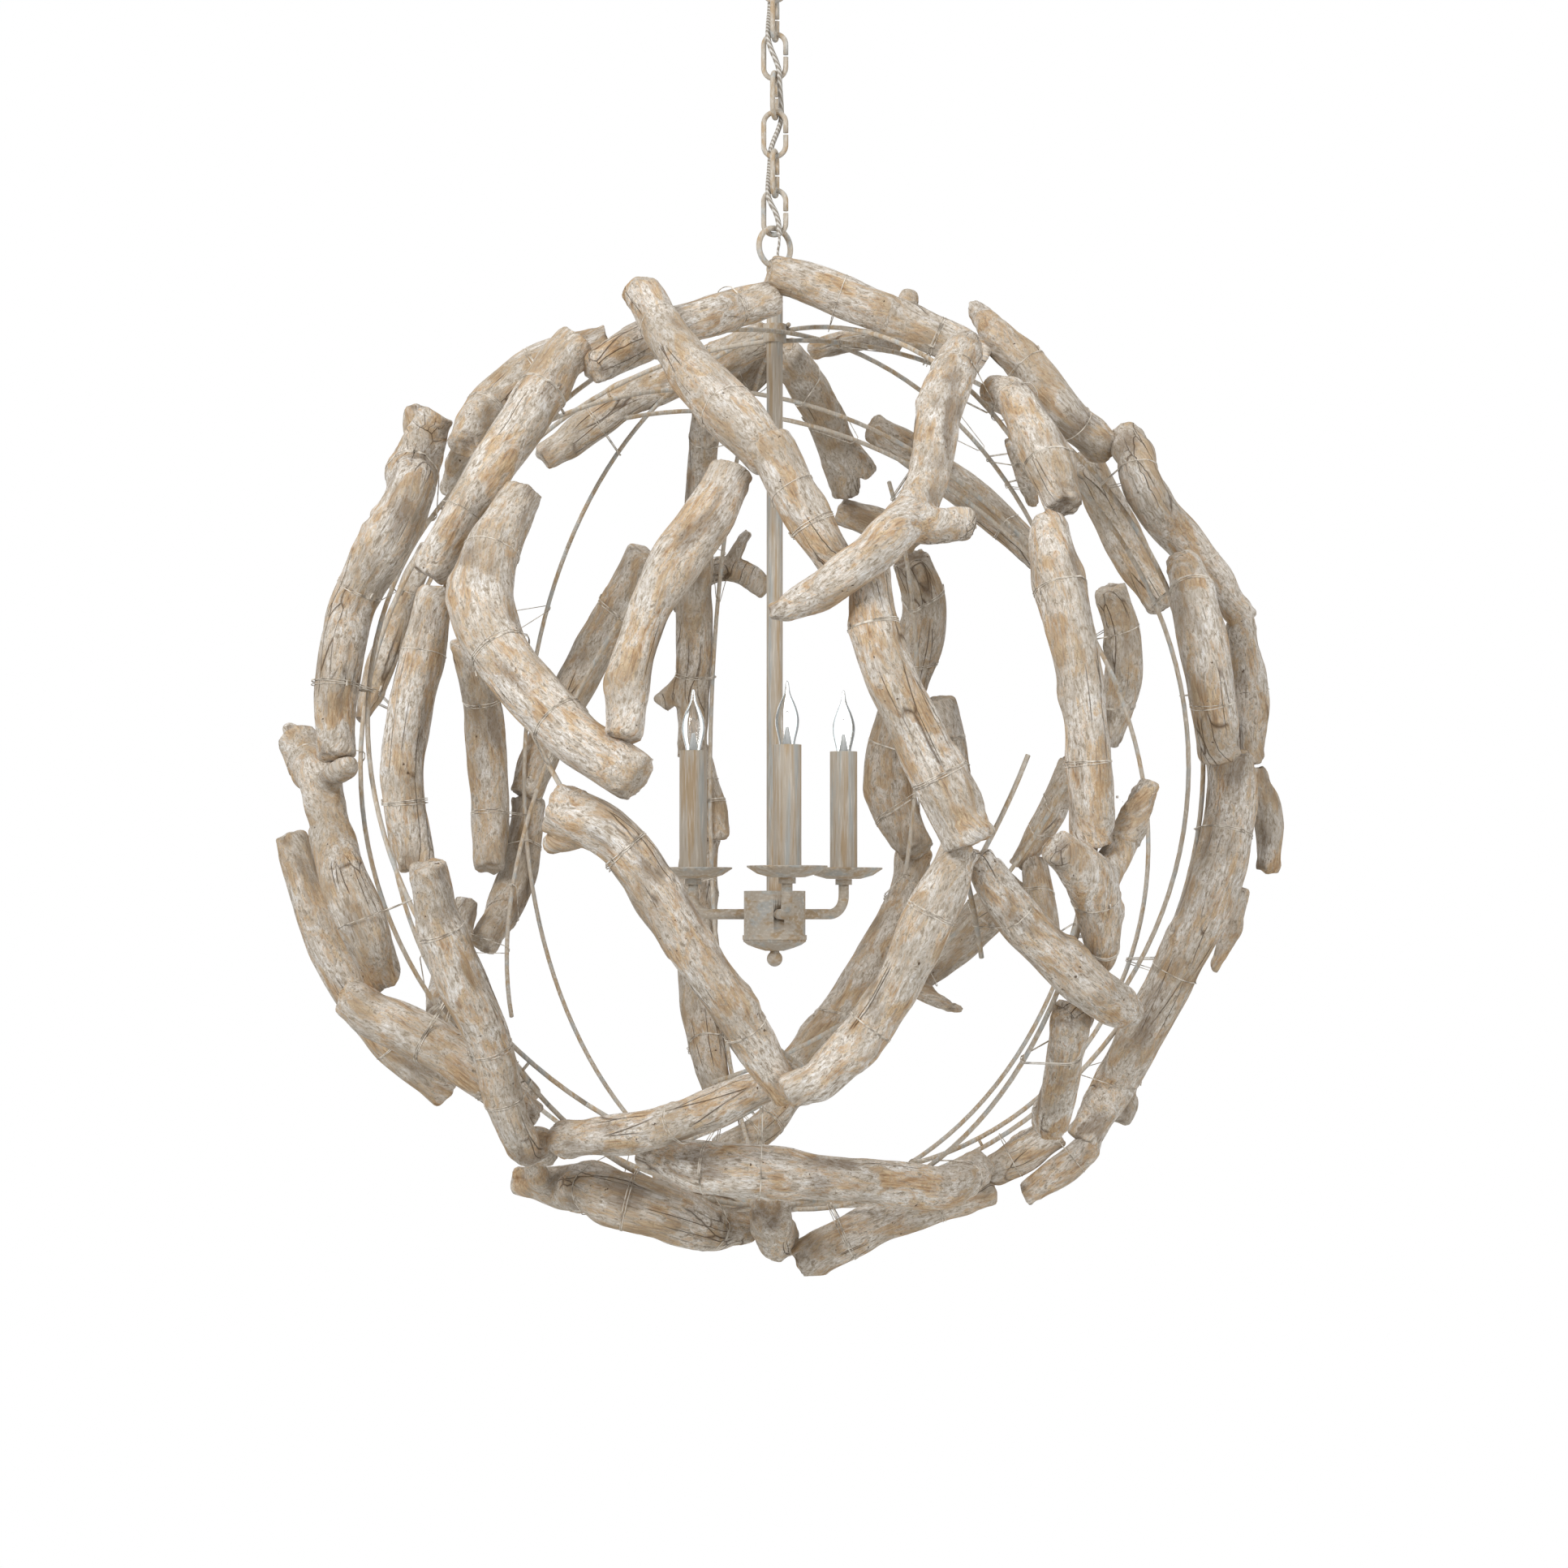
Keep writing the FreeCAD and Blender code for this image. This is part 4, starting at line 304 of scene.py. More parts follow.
    # pits: worm holes and knot hearts, 2 to 4 mm
    pits = addNode(tree, "ShaderNodeTexNoise", {"Scale": 170.0, "Detail": 2.0, "Roughness": 0.7},
                   {"Vector": place})
    pits = addNode(tree, "ShaderNodeValToRGB", {}, {"Fac": pits}, [(0.235, 0.9), (0.275, 0.0)])
    dark = addNode(tree, "ShaderNodeMath", {"operation": "MAXIMUM"}, {0: splits, 1: pits})
    colour = addNode(tree, "ShaderNodeMix", {"data_type": "RGBA", 7: toLinear("5E4A36")},
                     {0: dark, 6: colour})
    relief = addNode(tree, "ShaderNodeMath", {"operation": "MULTIPLY_ADD", 1: 0.5}, {0: fibres, 2: crackle})
    relief = addNode(tree, "ShaderNodeMath", {"operation": "MULTIPLY_ADD", 1: -0.9}, {0: dark, 2: relief})
    relief = addNode(tree, "ShaderNodeMath", {"operation": "MULTIPLY_ADD", 1: -0.18},
                     {0: bareShare, 2: relief})
    relief = addNode(tree, "ShaderNodeMath", {"operation": "MULTIPLY_ADD", 1: -0.25}, {0: craze, 2: relief})
    bump = addNode(tree, "ShaderNodeBump", {"Strength": 0.85, "Distance": 0.0020}, {"Height": relief})
    shader = addNode(tree, "ShaderNodeBsdfPrincipled", {"Roughness": 0.88, "Specular IOR Level": 0.22},
                     {"Base Color": colour, "Normal": bump})
    addNode(tree, "ShaderNodeOutputMaterial", links={"Surface": shader})
    return material


def looseParts(node):
    # a merged copy of a CAD node, one object for each of its solids
    bpy.ops.object.select_all(action="DESELECT")
    copy = frame["nodes"][node].copy()
    copy.data = copy.data.copy()
    copy.parent = None
    for key in list(copy.keys()):
        del copy[key]
    copy.name = node + "_part"
    copy.data.materials.clear()
    bpy.context.scene.collection.objects.link(copy)
    copy.select_set(True)
    bpy.context.view_layer.objects.active = copy
    bpy.ops.object.mode_set(mode="EDIT")
    bpy.ops.mesh.select_all(action="SELECT")
    bpy.ops.mesh.remove_doubles(threshold=0.00002)
    bpy.ops.mesh.separate(type="LOOSE")
    bpy.ops.object.mode_set(mode="OBJECT")
    return list(bpy.context.selected_objects)


def applyModifiers(piece):
    selectOnly(piece)
    for modifier in list(piece.modifiers):
        bpy.ops.object.modifier_apply(modifier=modifier.name)


def spineOf(places, edges, step):
    # the middle line of a branch, from how far each point is from one end along the surface
    neighbours = [[] for p in places]
    lengths = np.linalg.norm(places[edges[:, 0]] - places[edges[:, 1]], axis=1)
    for (a, b), length in zip(edges.tolist(), lengths.tolist()):
        neighbours[a].append((b, length))
        neighbours[b].append((a, length))

    def distancesFrom(start):
        far = [math.inf] * len(places)
        far[start] = 0
        heap = [(0, start)]
        while heap:
            d, a = heapq.heappop(heap)
            if d > far[a]:
                continue
            for b, length in neighbours[a]:
                if d + length < far[b]:
                    far[b] = d + length
                    heapq.heappush(heap, (far[b], b))
        return np.array(far)

    first = distancesFrom(0)
    first[np.isinf(first)] = 0
    far = distancesFrom(int(np.argmax(first)))
    far[np.isinf(far)] = 0
    count = max(3, int(far.max() / step))
    bins = np.minimum((far / far.max() * count).astype(int), count - 1)
    line = np.array([places[bins == k].mean(axis=0) for k in range(count) if (bins == k).any()])
    for turn in range(2):
        line[1:-1] = (line[:-2] + line[1:-1] * 2 + line[2:]) / 4
    return line


def grainOf(places, line):
    # how far along the spine each point is, how far from it, and the angle round it
    best = np.full(len(places), np.inf)
    along = np.zeros(len(places))
    angle = np.zeros(len(places))
    travelled = 0.0
    for k, (a, b) in enumerate(zip(line[:-1], line[1:])):
        run = b - a
        length = np.linalg.norm(run)
        if length < 1e-6:
            continue
        low = -9 if k == 0 else 0
        high = 9 if k == len(line) - 2 else 1
        t = np.clip((places - a) @ run / length ** 2, low, high)
        foot = a + t[:, None] * run
        offset = places - foot
        distance = np.linalg.norm(offset, axis=1)
        nearer = distance < best
        out = (a + b) / 2 - np.array(ballCentre)
        out -= run * (out @ run) / length ** 2
        out /= np.linalg.norm(out)
        side = np.cross(run / length, out)
        best[nearer] = distance[nearer]
        along[nearer] = travelled + t[nearer] * length
        angle[nearer] = np.arctan2(offset[nearer] @ side, offset[nearer] @ out)
        travelled += length
    return along, angle, best, travelled


def lengthen(part):
    # flat sawn ends are drawn out, so that the next branch lies close
    data = part.data
    ends = {}
    for polygon in data.polygons:
        key = tuple(round(v, 2) for v in polygon.normal)
        ends.setdefault(key, []).append(polygon)
    for normal, polygons in ends.items():
        area = sum(polygon.area for polygon in polygons)
        if len(polygons) < wood["leastEndFaces"] or area < wood["leastEnd"] * mm * mm:
            continue
        way = polygons[0].normal.copy()
        for k in {k for polygon in polygons for k in polygon.vertices}:
            data.vertices[k].co += way * (wood["grow"] * mm)


def carve(part, seed):
    # one branch: remeshed, worn round at its ends, then given lumps, ridges, knots and rough ends
    dice = random.Random(seed)
    lengthen(part)
    remesh = part.modifiers.new("remesh", "REMESH")
    remesh.mode = "VOXEL"
    remesh.voxel_size = wood["voxel"] * mm
    smooth = part.modifiers.new("wear", "SMOOTH")
    smooth.factor = wood["smoothShare"]
    smooth.iterations = wood["smoothTurns"]
    applyModifiers(part)
    data = part.data
    count = len(data.vertices)
    places = np.zeros(count * 3)
    data.vertices.foreach_get("co", places)
    places = places.reshape(-1, 3)
    normals = np.zeros(count * 3)
    data.vertices.foreach_get("normal", normals)
    normals = normals.reshape(-1, 3)
    edges = np.zeros(len(data.edges) * 2, int)
    data.edges.foreach_get("vertices", edges)
    line = spineOf(places, edges.reshape(-1, 2), wood["spineStep"] * mm)
    along, angle, depth, length = grainOf(places, line)
    shift = dice.uniform(0, 40)
    grain = np.stack([np.cos(angle) * depth, np.sin(angle) * depth, along + shift], axis=1)
    knots = [(dice.uniform(0.12, 0.88) * length, dice.uniform(-math.pi, math.pi),
              dice.uniform(wood["knotLeast"] * mm, wood["knotMost"] * mm))
             for k in range(max(1, int(length / (wood["knotEvery"] * mm))))]
    heights = np.zeros(count)
    toEnd = np.minimum(along, length - along)
    endReach = wood["endReach"] * mm
    # bulges of 30 mm, lumps of 14 mm and ridges of 6.5 mm, all drawn out along the grain
    for index, (x, y, z) in enumerate(grain.tolist()):
        bulge = noise.noise((x / 0.030, y / 0.030, z / 0.060 + 3))
        lump = noise.noise((x / 0.014, y / 0.014, z / 0.028))
        ridge = noise.noise((x / 0.0065 + 9, y / 0.0065, z / 0.045))
        heights[index] = (wood["swell"] + bulge * wood["bulge"] + lump * wood["lump"]
                          + (ridge if ridge > 0 else ridge * wood["grooveShare"]) * wood["ridge"])
        if toEnd[index] < endReach:
            px, py, pz = places[index]
            rough = noise.noise((px / 0.008, py / 0.008, pz / 0.008 + seed))
            heights[index] += (rough - 0.25) * wood["endRough"] * (1 - max(toEnd[index], 0) / endReach)
    for knotAlong, knotAngle, knotRadius in knots:
        turn = np.abs((angle - knotAngle + math.pi) % (2 * math.pi) - math.pi) * (wood["knotSpread"] * mm)
        d = np.sqrt((along - knotAlong) ** 2 + turn ** 2) / knotRadius
        heights += wood["knotHeight"] * (np.exp(-d ** 2) - 1.15 * np.exp(-(d * 2.4) ** 2))
    moved = places + normals * (heights * mm)[:, None]
    low, high = (np.array(corner) for corner in cadBox)
    spare = wood["boxClearance"] * mm
    moved = np.clip(moved, low + spare, high - spare)
    data.vertices.foreach_set("co", moved.ravel())
    data.update()
    # painted shade: a piece greys the further back it hangs, and each piece gets some random grey besides
    rear = 0.5 + 0.5 * float(np.clip(places[:, 1].mean() / 0.25, -1, 1))
    rearShadeAndTone = min(0.6, wood["rearShade"] * rear + dice.uniform(0, wood["oddGrey"]))
    for name, kind, values in (("grain", "FLOAT_VECTOR", grain), ("height", "FLOAT", heights / 2.5),
                               ("rearShadeAndTone", "FLOAT", np.full(count, rearShadeAndTone))):
        attribute = data.attributes.new(name, kind, "POINT")
        key = "vector" if kind == "FLOAT_VECTOR" else "value"
        attribute.data.foreach_set(key, values.astype(np.float32).ravel())
    data.shade_smooth()


def joined(parts, name):
    bpy.ops.object.select_all(action="DESELECT")
    for part in parts:
        part.select_set(True)
    bpy.context.view_layer.objects.active = parts[0]
    if len(parts) > 1:
        bpy.ops.object.join()
    piece = bpy.context.view_layer.objects.active
    piece.name = name
    piece.data.name = name
    return piece


def dress(piece, material, slotName, body, *nodes):
    piece.data.materials.clear()
    piece.data.materials.append(material)
    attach(piece, body)
    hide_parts(*nodes)


woodMaterial = washedWood()
woodPieces = []
for order, node in enumerate(sorted(n for n in frame["nodes"] if n.startswith("driftwood_"))):
    parts = looseParts(node)
    for k, part in enumerate(sorted(parts, key=lambda p: tuple(round(x, 4) for x in p.data.vertices[0].co))):
        carve(part, 100 * order + k)
    piece = joined(parts, "wood_" + node[len("driftwood_"):])
    dress(piece, woodMaterial, "washed_wood", "fixture", node)
    woodPieces.append(piece)
print("driftwood carved:", sum(len(p.data.polygons) for p in woodPieces), "faces")


# Painted steel: a matt ground brushed over with thin streaks of tan and blue-grey
paint = {"ground": "BDB2A2", "tan": "B7A184", "grey": "B3B3AE", "pale": "D6CFC3", "brown": "A08B6C"}


def streakedPaint(name, stretch, scale):
    # Chalk paint on steel, dragged with a dry brush: matt, with fine streaks the way the brush went
    material, tree = newMaterial(name)
    place = addNode(tree, "ShaderNodeTexCoord").outputs["Object"]
    dragged = addNode(tree, "ShaderNodeMapping", {"Scale": stretch}, {"Vector": place})
    broad = addNode(tree, "ShaderNodeTexNoise", {"Scale": scale, "Detail": 3.0, "Distortion": 0.2},
                    {"Vector": dragged})
    fine = addNode(tree, "ShaderNodeTexNoise", {"Scale": scale * 4, "Detail": 4.0}, {"Vector": dragged})
    grit = addNode(tree, "ShaderNodeTexNoise", {"Scale": 700.0, "Detail": 3.0}, {"Vector": place})
    colour = addNode(tree, "ShaderNodeValToRGB", {}, {"Fac": broad},
                     [(0.38, paint["tan"]), (0.47, paint["ground"]), (0.55, paint["ground"]),
                      (0.64, paint["grey"])])
    light = addNode(tree, "ShaderNodeValToRGB", {}, {"Fac": fine}, [(0.52, 0.0), (0.70, 0.8)])
    colour = addNode(tree, "ShaderNodeMix", {"data_type": "RGBA", 7: toLinear(paint["pale"])},
                     {0: light, 6: colour})
    brown = addNode(tree, "ShaderNodeValToRGB", {}, {"Fac": fine}, [(0.32, 0.45), (0.43, 0.0)])
    colour = addNode(tree, "ShaderNodeMix", {"data_type": "RGBA", 7: toLinear(paint["brown"])},
                     {0: brown, 6: colour})
    relief = addNode(tree, "ShaderNodeMath", {"operation": "MULTIPLY_ADD", 1: 0.5}, {0: grit, 2: fine})
    bump = addNode(tree, "ShaderNodeBump", {"Strength": 0.35, "Distance": 0.0003}, {"Height": relief})
    shader = addNode(tree, "ShaderNodeBsdfPrincipled", {"Roughness": 0.7, "Specular IOR Level": 0.35},
                     {"Base Color": colour, "Normal": bump})
    addNode(tree, "ShaderNodeOutputMaterial", links={"Surface": shader})
    return material


def smoothCopy(node, name, angle=40):
    # a merged, smooth-shaded copy of a CAD node whose shape is right
    piece = joined(looseParts(node), name)
    selectOnly(piece)
    bpy.ops.object.shade_smooth_by_angle(angle=math.radians(angle))
    return piece


uprightPaint = streakedPaint("brushed chalk paint, upright", (1, 1, 0.07), 150)
roundPaint = streakedPaint("brushed chalk paint, round", (0.6, 0.6, 1), 110)
linkPaint = streakedPaint("brushed chalk paint, wire", (1, 1, 0.4), 130)
print("paints made")

for node, material, body in (
        ("centre_stem", uprightPaint, "fixture"), ("candle_sleeves", uprightPaint, "fixture"),
        ("lamp_hub", roundPaint, "fixture"), ("hub_cap", roundPaint, "fixture"),
        ("finial", roundPaint, "fixture"), ("lamp_arms", roundPaint, "fixture"),
        ("arm_ring_nuts", roundPaint, "fixture"), ("drip_pans", roundPaint, "fixture"),
        ("frame_hoops", linkPaint, "fixture"), ("frame_top_collar", linkPaint, "fixture"),
        ("stem_eye", linkPaint, "fixture"),
        ("hanging_ring", linkPaint, "ring"), ("chain_links", linkPaint, "chain"),
        ("top_link", linkPaint, "top_link"), ("canopy_loop", linkPaint, "ceiling_mount"),
        ("ceiling_canopy", roundPaint, "ceiling_mount"), ("canopy_collar_nut", roundPaint, "ceiling_mount")):
    slotName = "sleeve_wood" if node == "candle_sleeves" else "washed_steel"
    piece = smoothCopy(node, "metal_" + node if node != "candle_sleeves" else "sleeves")
    dress(piece, material, slotName, body, node)
print("metalwork dressed")


# Binding wire: every wrap is one to three thin turns that hug the wood, with a twisted end
# lengths in millimetres; a wrap longer than the longest runs to a hoop some way off and isn't drawn
binding = {"wire": 0.8, "turnGap": 1.3, "tilt": 1.5, "longestWrap": 215,
           "slices": 40, "leastSlices": 12, "sliceShare": 1.6, "hug": 0.35, "hugReach": 6.0, "hugUnder": 2.2,
           "pigtail": 4.6, "pigtailTwists": 2, "pigtailSteps": 11, "pigtailLift": 0.5, "pigtailRadius": 0.45}


def loopLine(part, count):
    # the middle line of one round wrap, in order, and the way that it faces
    places = np.array([v.co for v in part.data.vertices])
    centre = places.mean(axis=0)
    axes = np.linalg.svd(places - centre, full_matrices=False)[2]
    facing = axes[2]
    x = axes[0]
    y = np.cross(facing, x)
    flat = np.stack([(places - centre) @ x, (places - centre) @ y], axis=1)
    turn = np.arctan2(flat[:, 1], flat[:, 0])
    line = []
    reach = math.pi / count * binding["sliceShare"]
    for k in range(count):
        angle = -math.pi + 2 * math.pi * (k + 0.5) / count
        near = np.abs((turn - angle + math.pi) % (2 * math.pi) - math.pi) < reach
        if near.sum() >= 2:
            line.append(centre + x * flat[near, 0].mean() + y * flat[near, 1].mean())
    return np.array(line), facing, centre


def hugged(line, tree, centre):
    # points sunk in the wood, or just over it, come to lie on it
    lifted = []
    for point in line:
        place, normal, _, distance = tree.find_nearest(Vector(point), binding["hugReach"] * mm)
        if place is not None:
            inside = (Vector(point) - place).dot(normal) < 0
            if inside or distance < binding["hugUnder"] * mm:
                point = np.array(place + normal * (binding["hug"] * mm))
        lifted.append(point)
    return np.array(lifted)


def wireCurve(lines, name, thickness):
    data = bpy.data.curves.new(name, "CURVE")
    data.dimensions = "3D"
    data.bevel_depth = thickness / 2 * mm
    data.bevel_resolution = 1
    data.use_fill_caps = True
    for line, ring in lines:
        spline = data.splines.new("POLY")
        spline.points.add(len(line) - 1)
        spline.points.foreach_set("co", np.c_[line, np.ones(len(line))].ravel())
        spline.use_cyclic_u = ring
    return curveToMesh(name, data)


def bindingSteel():
    # Tinned steel tie wire under the same chalk wash: pale and matt, with a little grey showing
    material, tree = newMaterial("washed tie wire")
    place = addNode(tree, "ShaderNodeTexCoord").outputs["Object"]
    worn = addNode(tree, "ShaderNodeTexNoise", {"Scale": 160.0, "Detail": 3.0}, {"Vector": place})
    colour = addNode(tree, "ShaderNodeValToRGB", {}, {"Fac": worn},
                     [(0.38, "92887A"), (0.48, "C4BAAB"), (0.62, "E3DCD0")])
    bump = addNode(tree, "ShaderNodeBump", {"Strength": 0.3, "Distance": 0.0002}, {"Height": worn})
    shader = addNode(tree, "ShaderNodeBsdfPrincipled", {"Roughness": 0.6, "Metallic": 0.2},
                     {"Base Color": colour, "Normal": bump})
    addNode(tree, "ShaderNodeOutputMaterial", links={"Surface": shader})
    return material


def woodTree():
    # one search tree over all the carved wood
    verts = []
    faces = []
    for piece in woodPieces:
        base = len(verts)
        verts += [v.co.copy() for v in piece.data.vertices]
        faces += [[base + k for k in p.vertices] for p in piece.data.polygons]
    return BVHTree.FromPolygons(verts, faces)


def makeBinding(node, tree, material, seed):
    dice = random.Random(seed)
    lines = []
    for part in looseParts(node):
        line, facing, centre = loopLine(part, binding["slices"])
        bpy.data.objects.remove(part)
        around = float(np.linalg.norm(line - np.roll(line, 1, axis=0), axis=1).sum()) / mm
        if len(line) < binding["leastSlices"] or around > binding["longestWrap"]:
            continue
        turns = dice.choice((1, 2, 2, 3))
        snug = len(lines)
        for turn in range(turns):
            offset = (turn - (turns - 1) / 2) * binding["turnGap"] * mm
            lean = dice.uniform(-1, 1) * binding["tilt"] * mm
            across = np.array([facing * (offset + lean * math.sin(2 * math.pi * k / len(line) + turn))
                               for k in range(len(line))])
            lines.append((hugged(line + across, tree, centre), True))
        # the twisted end is bent over, close to the wood
        outward = [(Vector(p) - ballCentre).length for p in line]
        start = Vector(lines[snug][0][int(np.argmax(outward)) - dice.randint(2, 9)])
        away = (start - Vector(centre)).normalized()
        lay = (Vector(facing) * dice.choice((-1, 1)) + away * dice.uniform(-0.1, 0.35)).normalized()
        side = lay.cross(away).normalized()
        other = lay.cross(side)
        for phase in (0, math.pi):
            twist = []
            for k in range(binding["pigtailSteps"] + 1):
                t = k / binding["pigtailSteps"]
                angle = phase + t * binding["pigtailTwists"] * 2 * math.pi
                twist.append(start + away * (binding["pigtailLift"] * mm)
                             + lay * (t * binding["pigtail"] * mm)
                             + side * (binding["pigtailRadius"] * mm * math.cos(angle))
                             + other * (binding["pigtailRadius"] * mm * math.sin(angle)))
            lines.append((np.array(twist), False))
    piece = wireCurve(lines, "tie" + node[len("binding"):], binding["wire"])
    dress(piece, material, "raw_steel", "fixture", node)
    print(node, "wound:", len(piece.data.polygons), "faces")


carvedTree = woodTree()
wireMaterial = bindingSteel()
for seed, node in enumerate(("binding_wires_rear", "binding_wires_left", "binding_wires_right")):
    makeBinding(node, carvedTree, wireMaterial, seed)


# Bulbs: a blown flame-tip shell with its glass mount, lead wires and filament
bulb = {"wall": 0.45, "mountHeight": 17.0, "mountRadius": 2.6, "mountLift": 1.2, "mountRound": 0.5,
        "flareShare": 1.7, "pinchShare": 0.55, "leadWire": 0.4, "leadReach": 28.0, "leadLow": 0.5,
        "leadHigh": 0.9, "leadKnee": 3, "filamentWidth": 5.0, "coilRadius": 0.28, "coilRise": 3.2,
        "coilTurns": 15, "coilSteps": 60}


def clearGlass():
    # Soda-lime glass, blown thin: clear in the middle, with grey painted shade at the rims where the wall is
    # seen edge on
    material, tree = newMaterial("clear blown glass")
    facing = addNode(tree, "ShaderNodeLayerWeight", {"Blend": 0.5}).outputs["Facing"]
    # painted shade: the colour greys as the surface turns edge on to the eye
    tint = addNode(tree, "ShaderNodeValToRGB", {}, {"Fac": facing},
                   [(0.05, "FFFFFF"), (0.28, "E9ECEC"), (0.50, "B0B6B8"), (0.80, "565C5E")])
    shader = addNode(tree, "ShaderNodeBsdfPrincipled",
                     {"Roughness": 0.02, "IOR": 1.45, "Transmission Weight": 1.0}, {"Base Color": tint})
    addNode(tree, "ShaderNodeOutputMaterial", links={"Surface": shader})
    return material


def speckled(name, colour, rough, metallic=0.0):
    # For small parts: a plain finish with a fine cast or drawn grain
    material, tree = newMaterial(name)
    place = addNode(tree, "ShaderNodeTexCoord").outputs["Object"]
    speck = addNode(tree, "ShaderNodeTexNoise", {"Scale": 900.0, "Detail": 3.0}, {"Vector": place})
    tint = addNode(tree, "ShaderNodeMix",
                   {"data_type": "RGBA", "blend_type": "SOFT_LIGHT", 6: toLinear(colour), 7: (1, 1, 1, 1)},
                   {0: speck})
    bump = addNode(tree, "ShaderNodeBump", {"Strength": 0.15, "Distance": 0.0002}, {"Height": speck})
    shader = addNode(tree, "ShaderNodeBsdfPrincipled", {"Roughness": rough, "Metallic": metallic},
                     {"Base Color": tint, "Normal": bump})
    addNode(tree, "ShaderNodeOutputMaterial", links={"Surface": shader})
    return material


glassMaterial = clearGlass()
mountMaterial = speckled("lead glass press", "B9BCBB", 0.25)
brassMaterial = speckled("lacquered brass cap", "B9A06A", 0.35, 1.0)
filamentMaterial = speckled("tungsten and nickel wire", "8C8880", 0.4, 1.0)
socketMaterial = speckled("phenolic socket", "D8D2C4", 0.5)
zincMaterial = speckled("zinc-plated steel", "B8B9B6", 0.4, 0.9)


def hollow(piece, wall):
    # a closed form turned into a thin blown wall, open nowhere
    thick = piece.modifiers.new("wall", "SOLIDIFY")
    thick.thickness = wall * mm
    thick.offset = -1
    applyModifiers(piece)


for k in (1, 2, 3):
    low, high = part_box("bulb_glass_%d" % k)
    x, y = (low.x + high.x) / 2, (low.y + high.y) / 2
    shell = smoothCopy("bulb_glass_%d" % k, "bulb_shell_%d" % k, 60)
    hollow(shell, bulb["wall"])
    shell.data.shade_smooth()
    dress(shell, glassMaterial, "bulb_glass", "bulb_%d" % k, "bulb_glass_%d" % k)
    # the mount: a flared glass tube pinched at its top
    bpy.ops.object.select_all(action="DESELECT")
    bpy.ops.mesh.primitive_cone_add(
        vertices=24, radius1=bulb["mountRadius"] * mm * bulb["flareShare"],
        radius2=bulb["mountRadius"] * mm * bulb["pinchShare"], depth=bulb["mountHeight"] * mm,
        location=(x, y, low.z + (bulb["mountHeight"] / 2 + bulb["mountLift"]) * mm))
    mount = bpy.context.object
    bpy.ops.object.transform_apply(location=True, rotation=True, scale=True)
    bevel = mount.modifiers.new("round", "BEVEL")
    bevel.width = bulb["mountRound"] * mm
    bevel.segments = 3
    applyModifiers(mount)
    mount.name = "bulb_mount_%d" % k
    mount.data.shade_smooth()
    mount.data.materials.append(mountMaterial)
    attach(mount, "bulb_%d" % k)
    base = low.z + bulb["mountHeight"] * mm
    top = low.z + bulb["leadReach"] * mm
    half = bulb["filamentWidth"] / 2 * mm
    leads = []
    for side in (-1, 1):
        leads.append((np.array([(x + side * bulb["leadLow"] * mm, y, base),
                                (x + side * bulb["leadHigh"] * mm, y, base + bulb["leadKnee"] * mm),
                                (x + side * half, y, top)]), False))
    coil = []
    for step in range(bulb["coilSteps"] + 1):
        t = step / bulb["coilSteps"]
        turned = t * bulb["coilTurns"] * 2 * math.pi
        coil.append((x - half + 2 * half * t, y + bulb["coilRadius"] * mm * math.cos(turned),
                     top + math.sin(t * math.pi) * bulb["coilRise"] * mm
                     + bulb["coilRadius"] * mm * math.sin(turned)))
    leads.append((np.array(coil), False))
    wires = wireCurve(leads, "bulb_filament_%d" % k, bulb["leadWire"])
    wires.data.materials.append(filamentMaterial)
    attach(wires, "bulb_%d" % k)
    cap = smoothCopy("bulb_base_%d" % k, "bulb_cap_%d" % k)
    dress(cap, brassMaterial, "bulb_brass", "bulb_%d" % k, "bulb_base_%d" % k)

for node, material, slotName, body in (
        ("lamp_sockets", socketMaterial, "socket_plastic", "fixture"),
        ("mounting_strap", zincMaterial, "raw_steel", "ceiling_mount"),
        ("threaded_nipple", zincMaterial, "raw_steel", "ceiling_mount"),
        ("nipple_locknut", zincMaterial, "raw_steel", "ceiling_mount"),
        ("cord_bushing", socketMaterial, "socket_plastic", "ceiling_mount")):
    dress(smoothCopy(node, "fitting_" + node), material, slotName, body, node)
print("bulbs and fittings made")


# Supply cord, woven down through the links. Each length runs across one joint.
cord = {"colour": "A9A297", "diameter": 4.6, "lead": 2.2, "bendOver": 6.0}

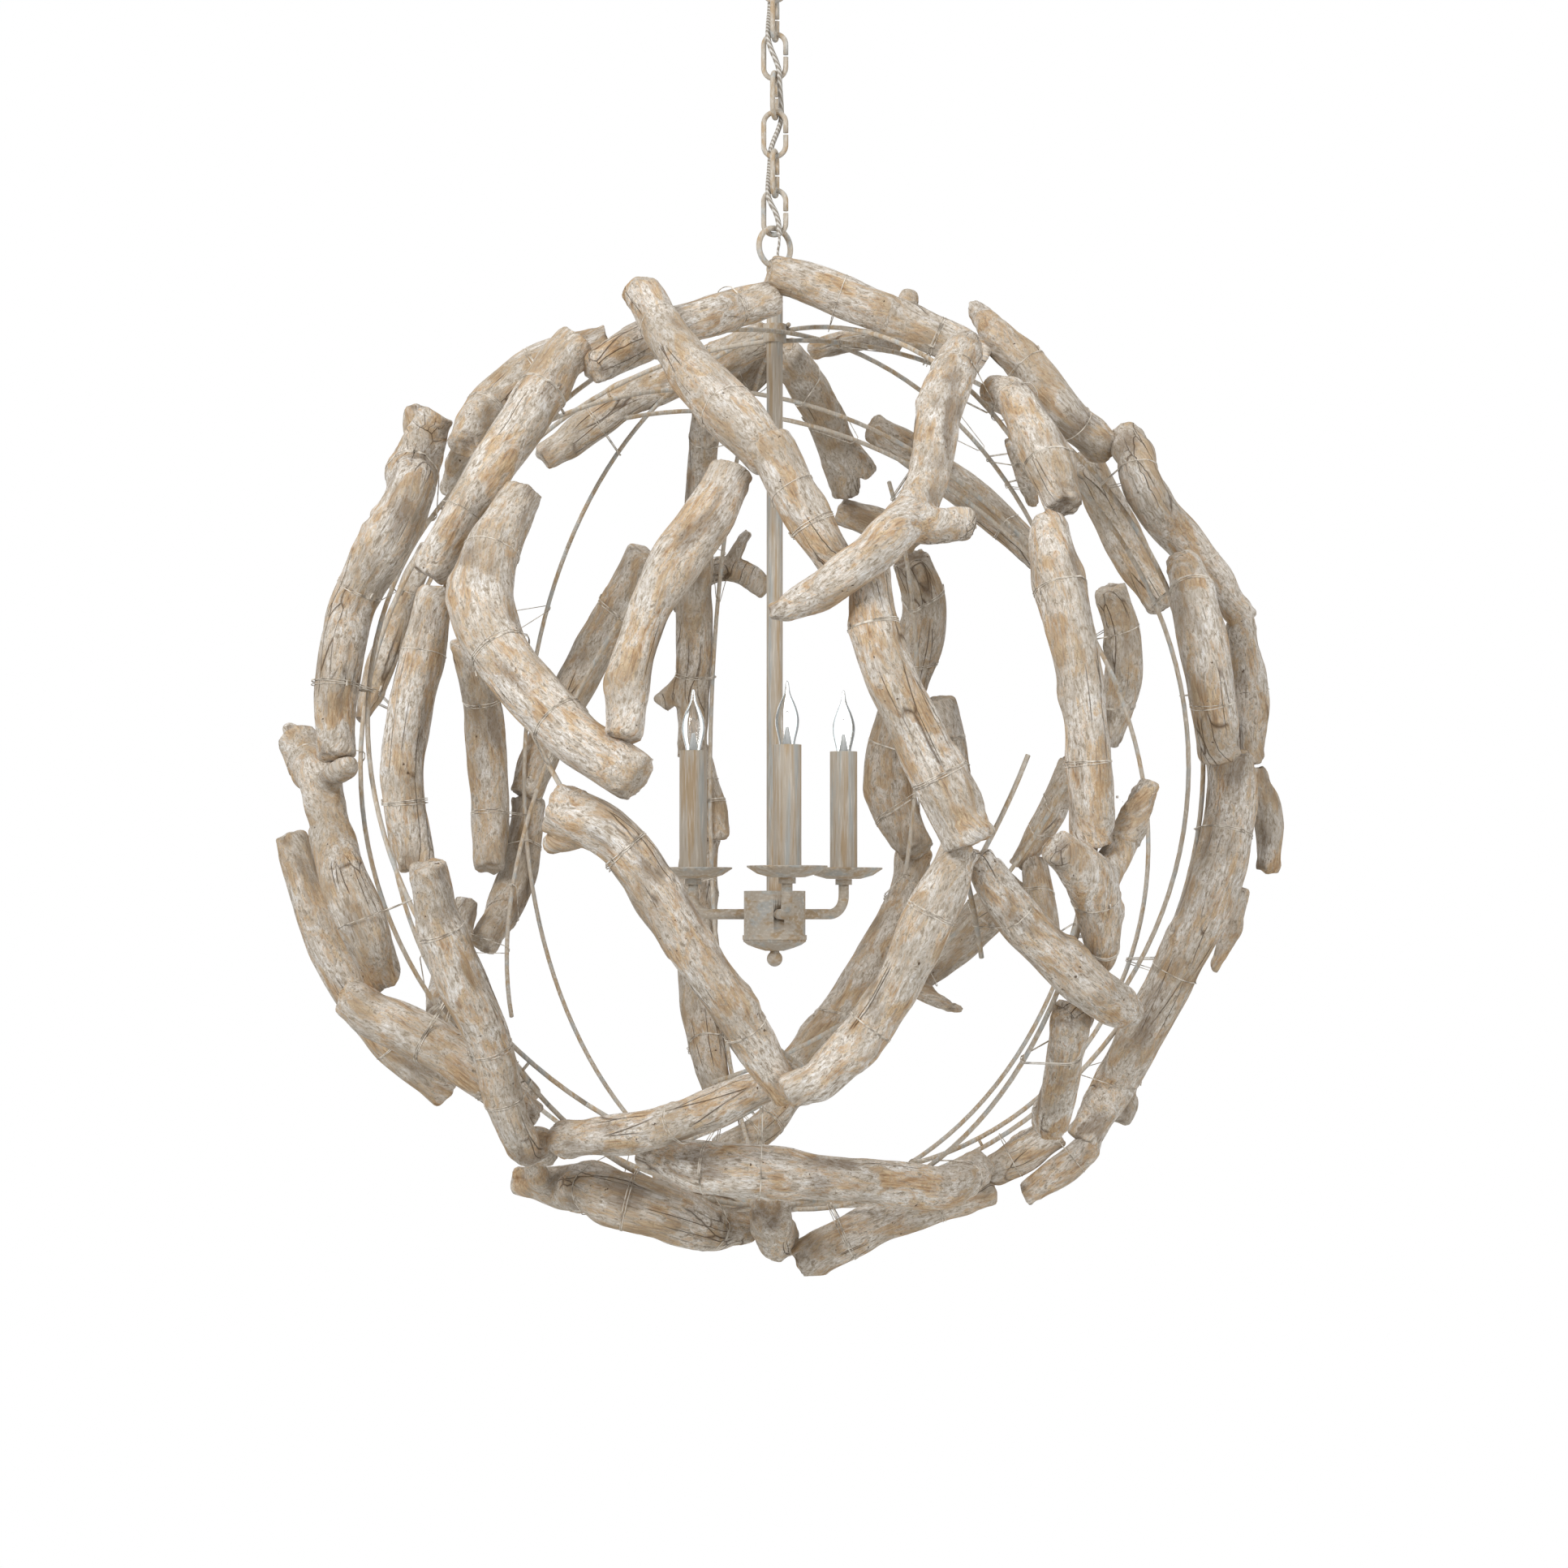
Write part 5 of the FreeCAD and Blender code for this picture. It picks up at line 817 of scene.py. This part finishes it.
# the route's points in millimetres; each length ends half way down a straight run
cordRoute = {
    "flex_canopy": [(27, 0, -19), (27, 0, -36), (18.3, -5.3, -49.5), (4, -5.9, -62), (4, -5.9, -76.2),
                    (5, -1, -80)],
    "flex_top": [(5, -1, -80), (5.9, 4, -83.8), (5.9, 4, -105.6), (1, 5, -114.2)],
    "flex_chain": [(1, 5, -114.2), (-4, 5.9, -122.8), (-4, 5.9, -134.8), (-5.9, -4, -157),
                   (-5.9, -4, -169), (4, -5.9, -191.2), (4, -5.9, -203.2), (5.9, 4, -225.3),
                   (5.9, 4, -237.3), (-4, 5.9, -259.6), (-4, 5.9, -271.6), (-5.9, -4, -293.8),
                   (-5.9, -4, -305.8), (4, -5.9, -323), (4, -5.9, -338)],
    "flex_lead": [(4, -5.9, -337), (4, -5.9, -346.6), (2.6, -3.6, -350.2), (2.6, -3.6, -358.2)]}
cordPivots = {"top_link_swing": (0, 0, -63), "chain_swing": (0, 0, -97), "ring_swing": (0, 0, -336.4),
              "fixture_swing": (0, 0, -364.2)}


def cordJacket():
    # Clear PVC flex over tinned strands: grey and a little glossy, with the strands' lay showing through
    material, tree = newMaterial("clear PVC flex")
    place = addNode(tree, "ShaderNodeTexCoord").outputs["Object"]
    strands = addNode(tree, "ShaderNodeTexWave",
                      {"Scale": 150.0, "Distortion": 1.5, "bands_direction": "DIAGONAL"}, {"Vector": place})
    colour = addNode(tree, "ShaderNodeValToRGB", {}, {"Fac": strands},
                     [(0.2, "8A8072"), (0.6, cord["colour"]), (0.9, "CBC7BF")])
    shader = addNode(tree, "ShaderNodeBsdfPrincipled", {"Roughness": 0.38, "IOR": 1.5},
                     {"Base Color": colour})
    addNode(tree, "ShaderNodeOutputMaterial", links={"Surface": shader})
    return material


def flex(name, points, diameter):
    data = bpy.data.curves.new(name, "CURVE")
    data.dimensions = "3D"
    data.bevel_depth = diameter / 2 * mm
    data.bevel_resolution = 4
    data.resolution_u = 8
    data.use_fill_caps = True
    spline = data.splines.new("NURBS")
    spline.points.add(len(points) - 1)
    for point, (x, y, z) in zip(spline.points, points):
        point.co = (x * mm, y * mm, z * mm, 1)
    spline.order_u = 3
    spline.use_endpoint_u = True
    return curveToMesh(name, data)


cordMaterial = cordJacket()
for name, node, above, below, joint, thickness in (
        ("flex_canopy", "supply_cord_canopy", "ceiling_mount", "top_link", "top_link_swing",
         cord["diameter"]),
        ("flex_top", "supply_cord_top", "top_link", "chain", "chain_swing", cord["diameter"]),
        ("flex_chain", "supply_cord_chain", "chain", "ring", "ring_swing", cord["diameter"]),
        ("flex_lead", "supply_cord_eye", "ring", "fixture", "fixture_swing", cord["lead"])):
    piece = flex(name, cordRoute[name], thickness)
    piece.data.materials.append(cordMaterial)
    x, y, z = cordPivots[joint]
    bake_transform(piece)
    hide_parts(node)
print("supply cord laid")
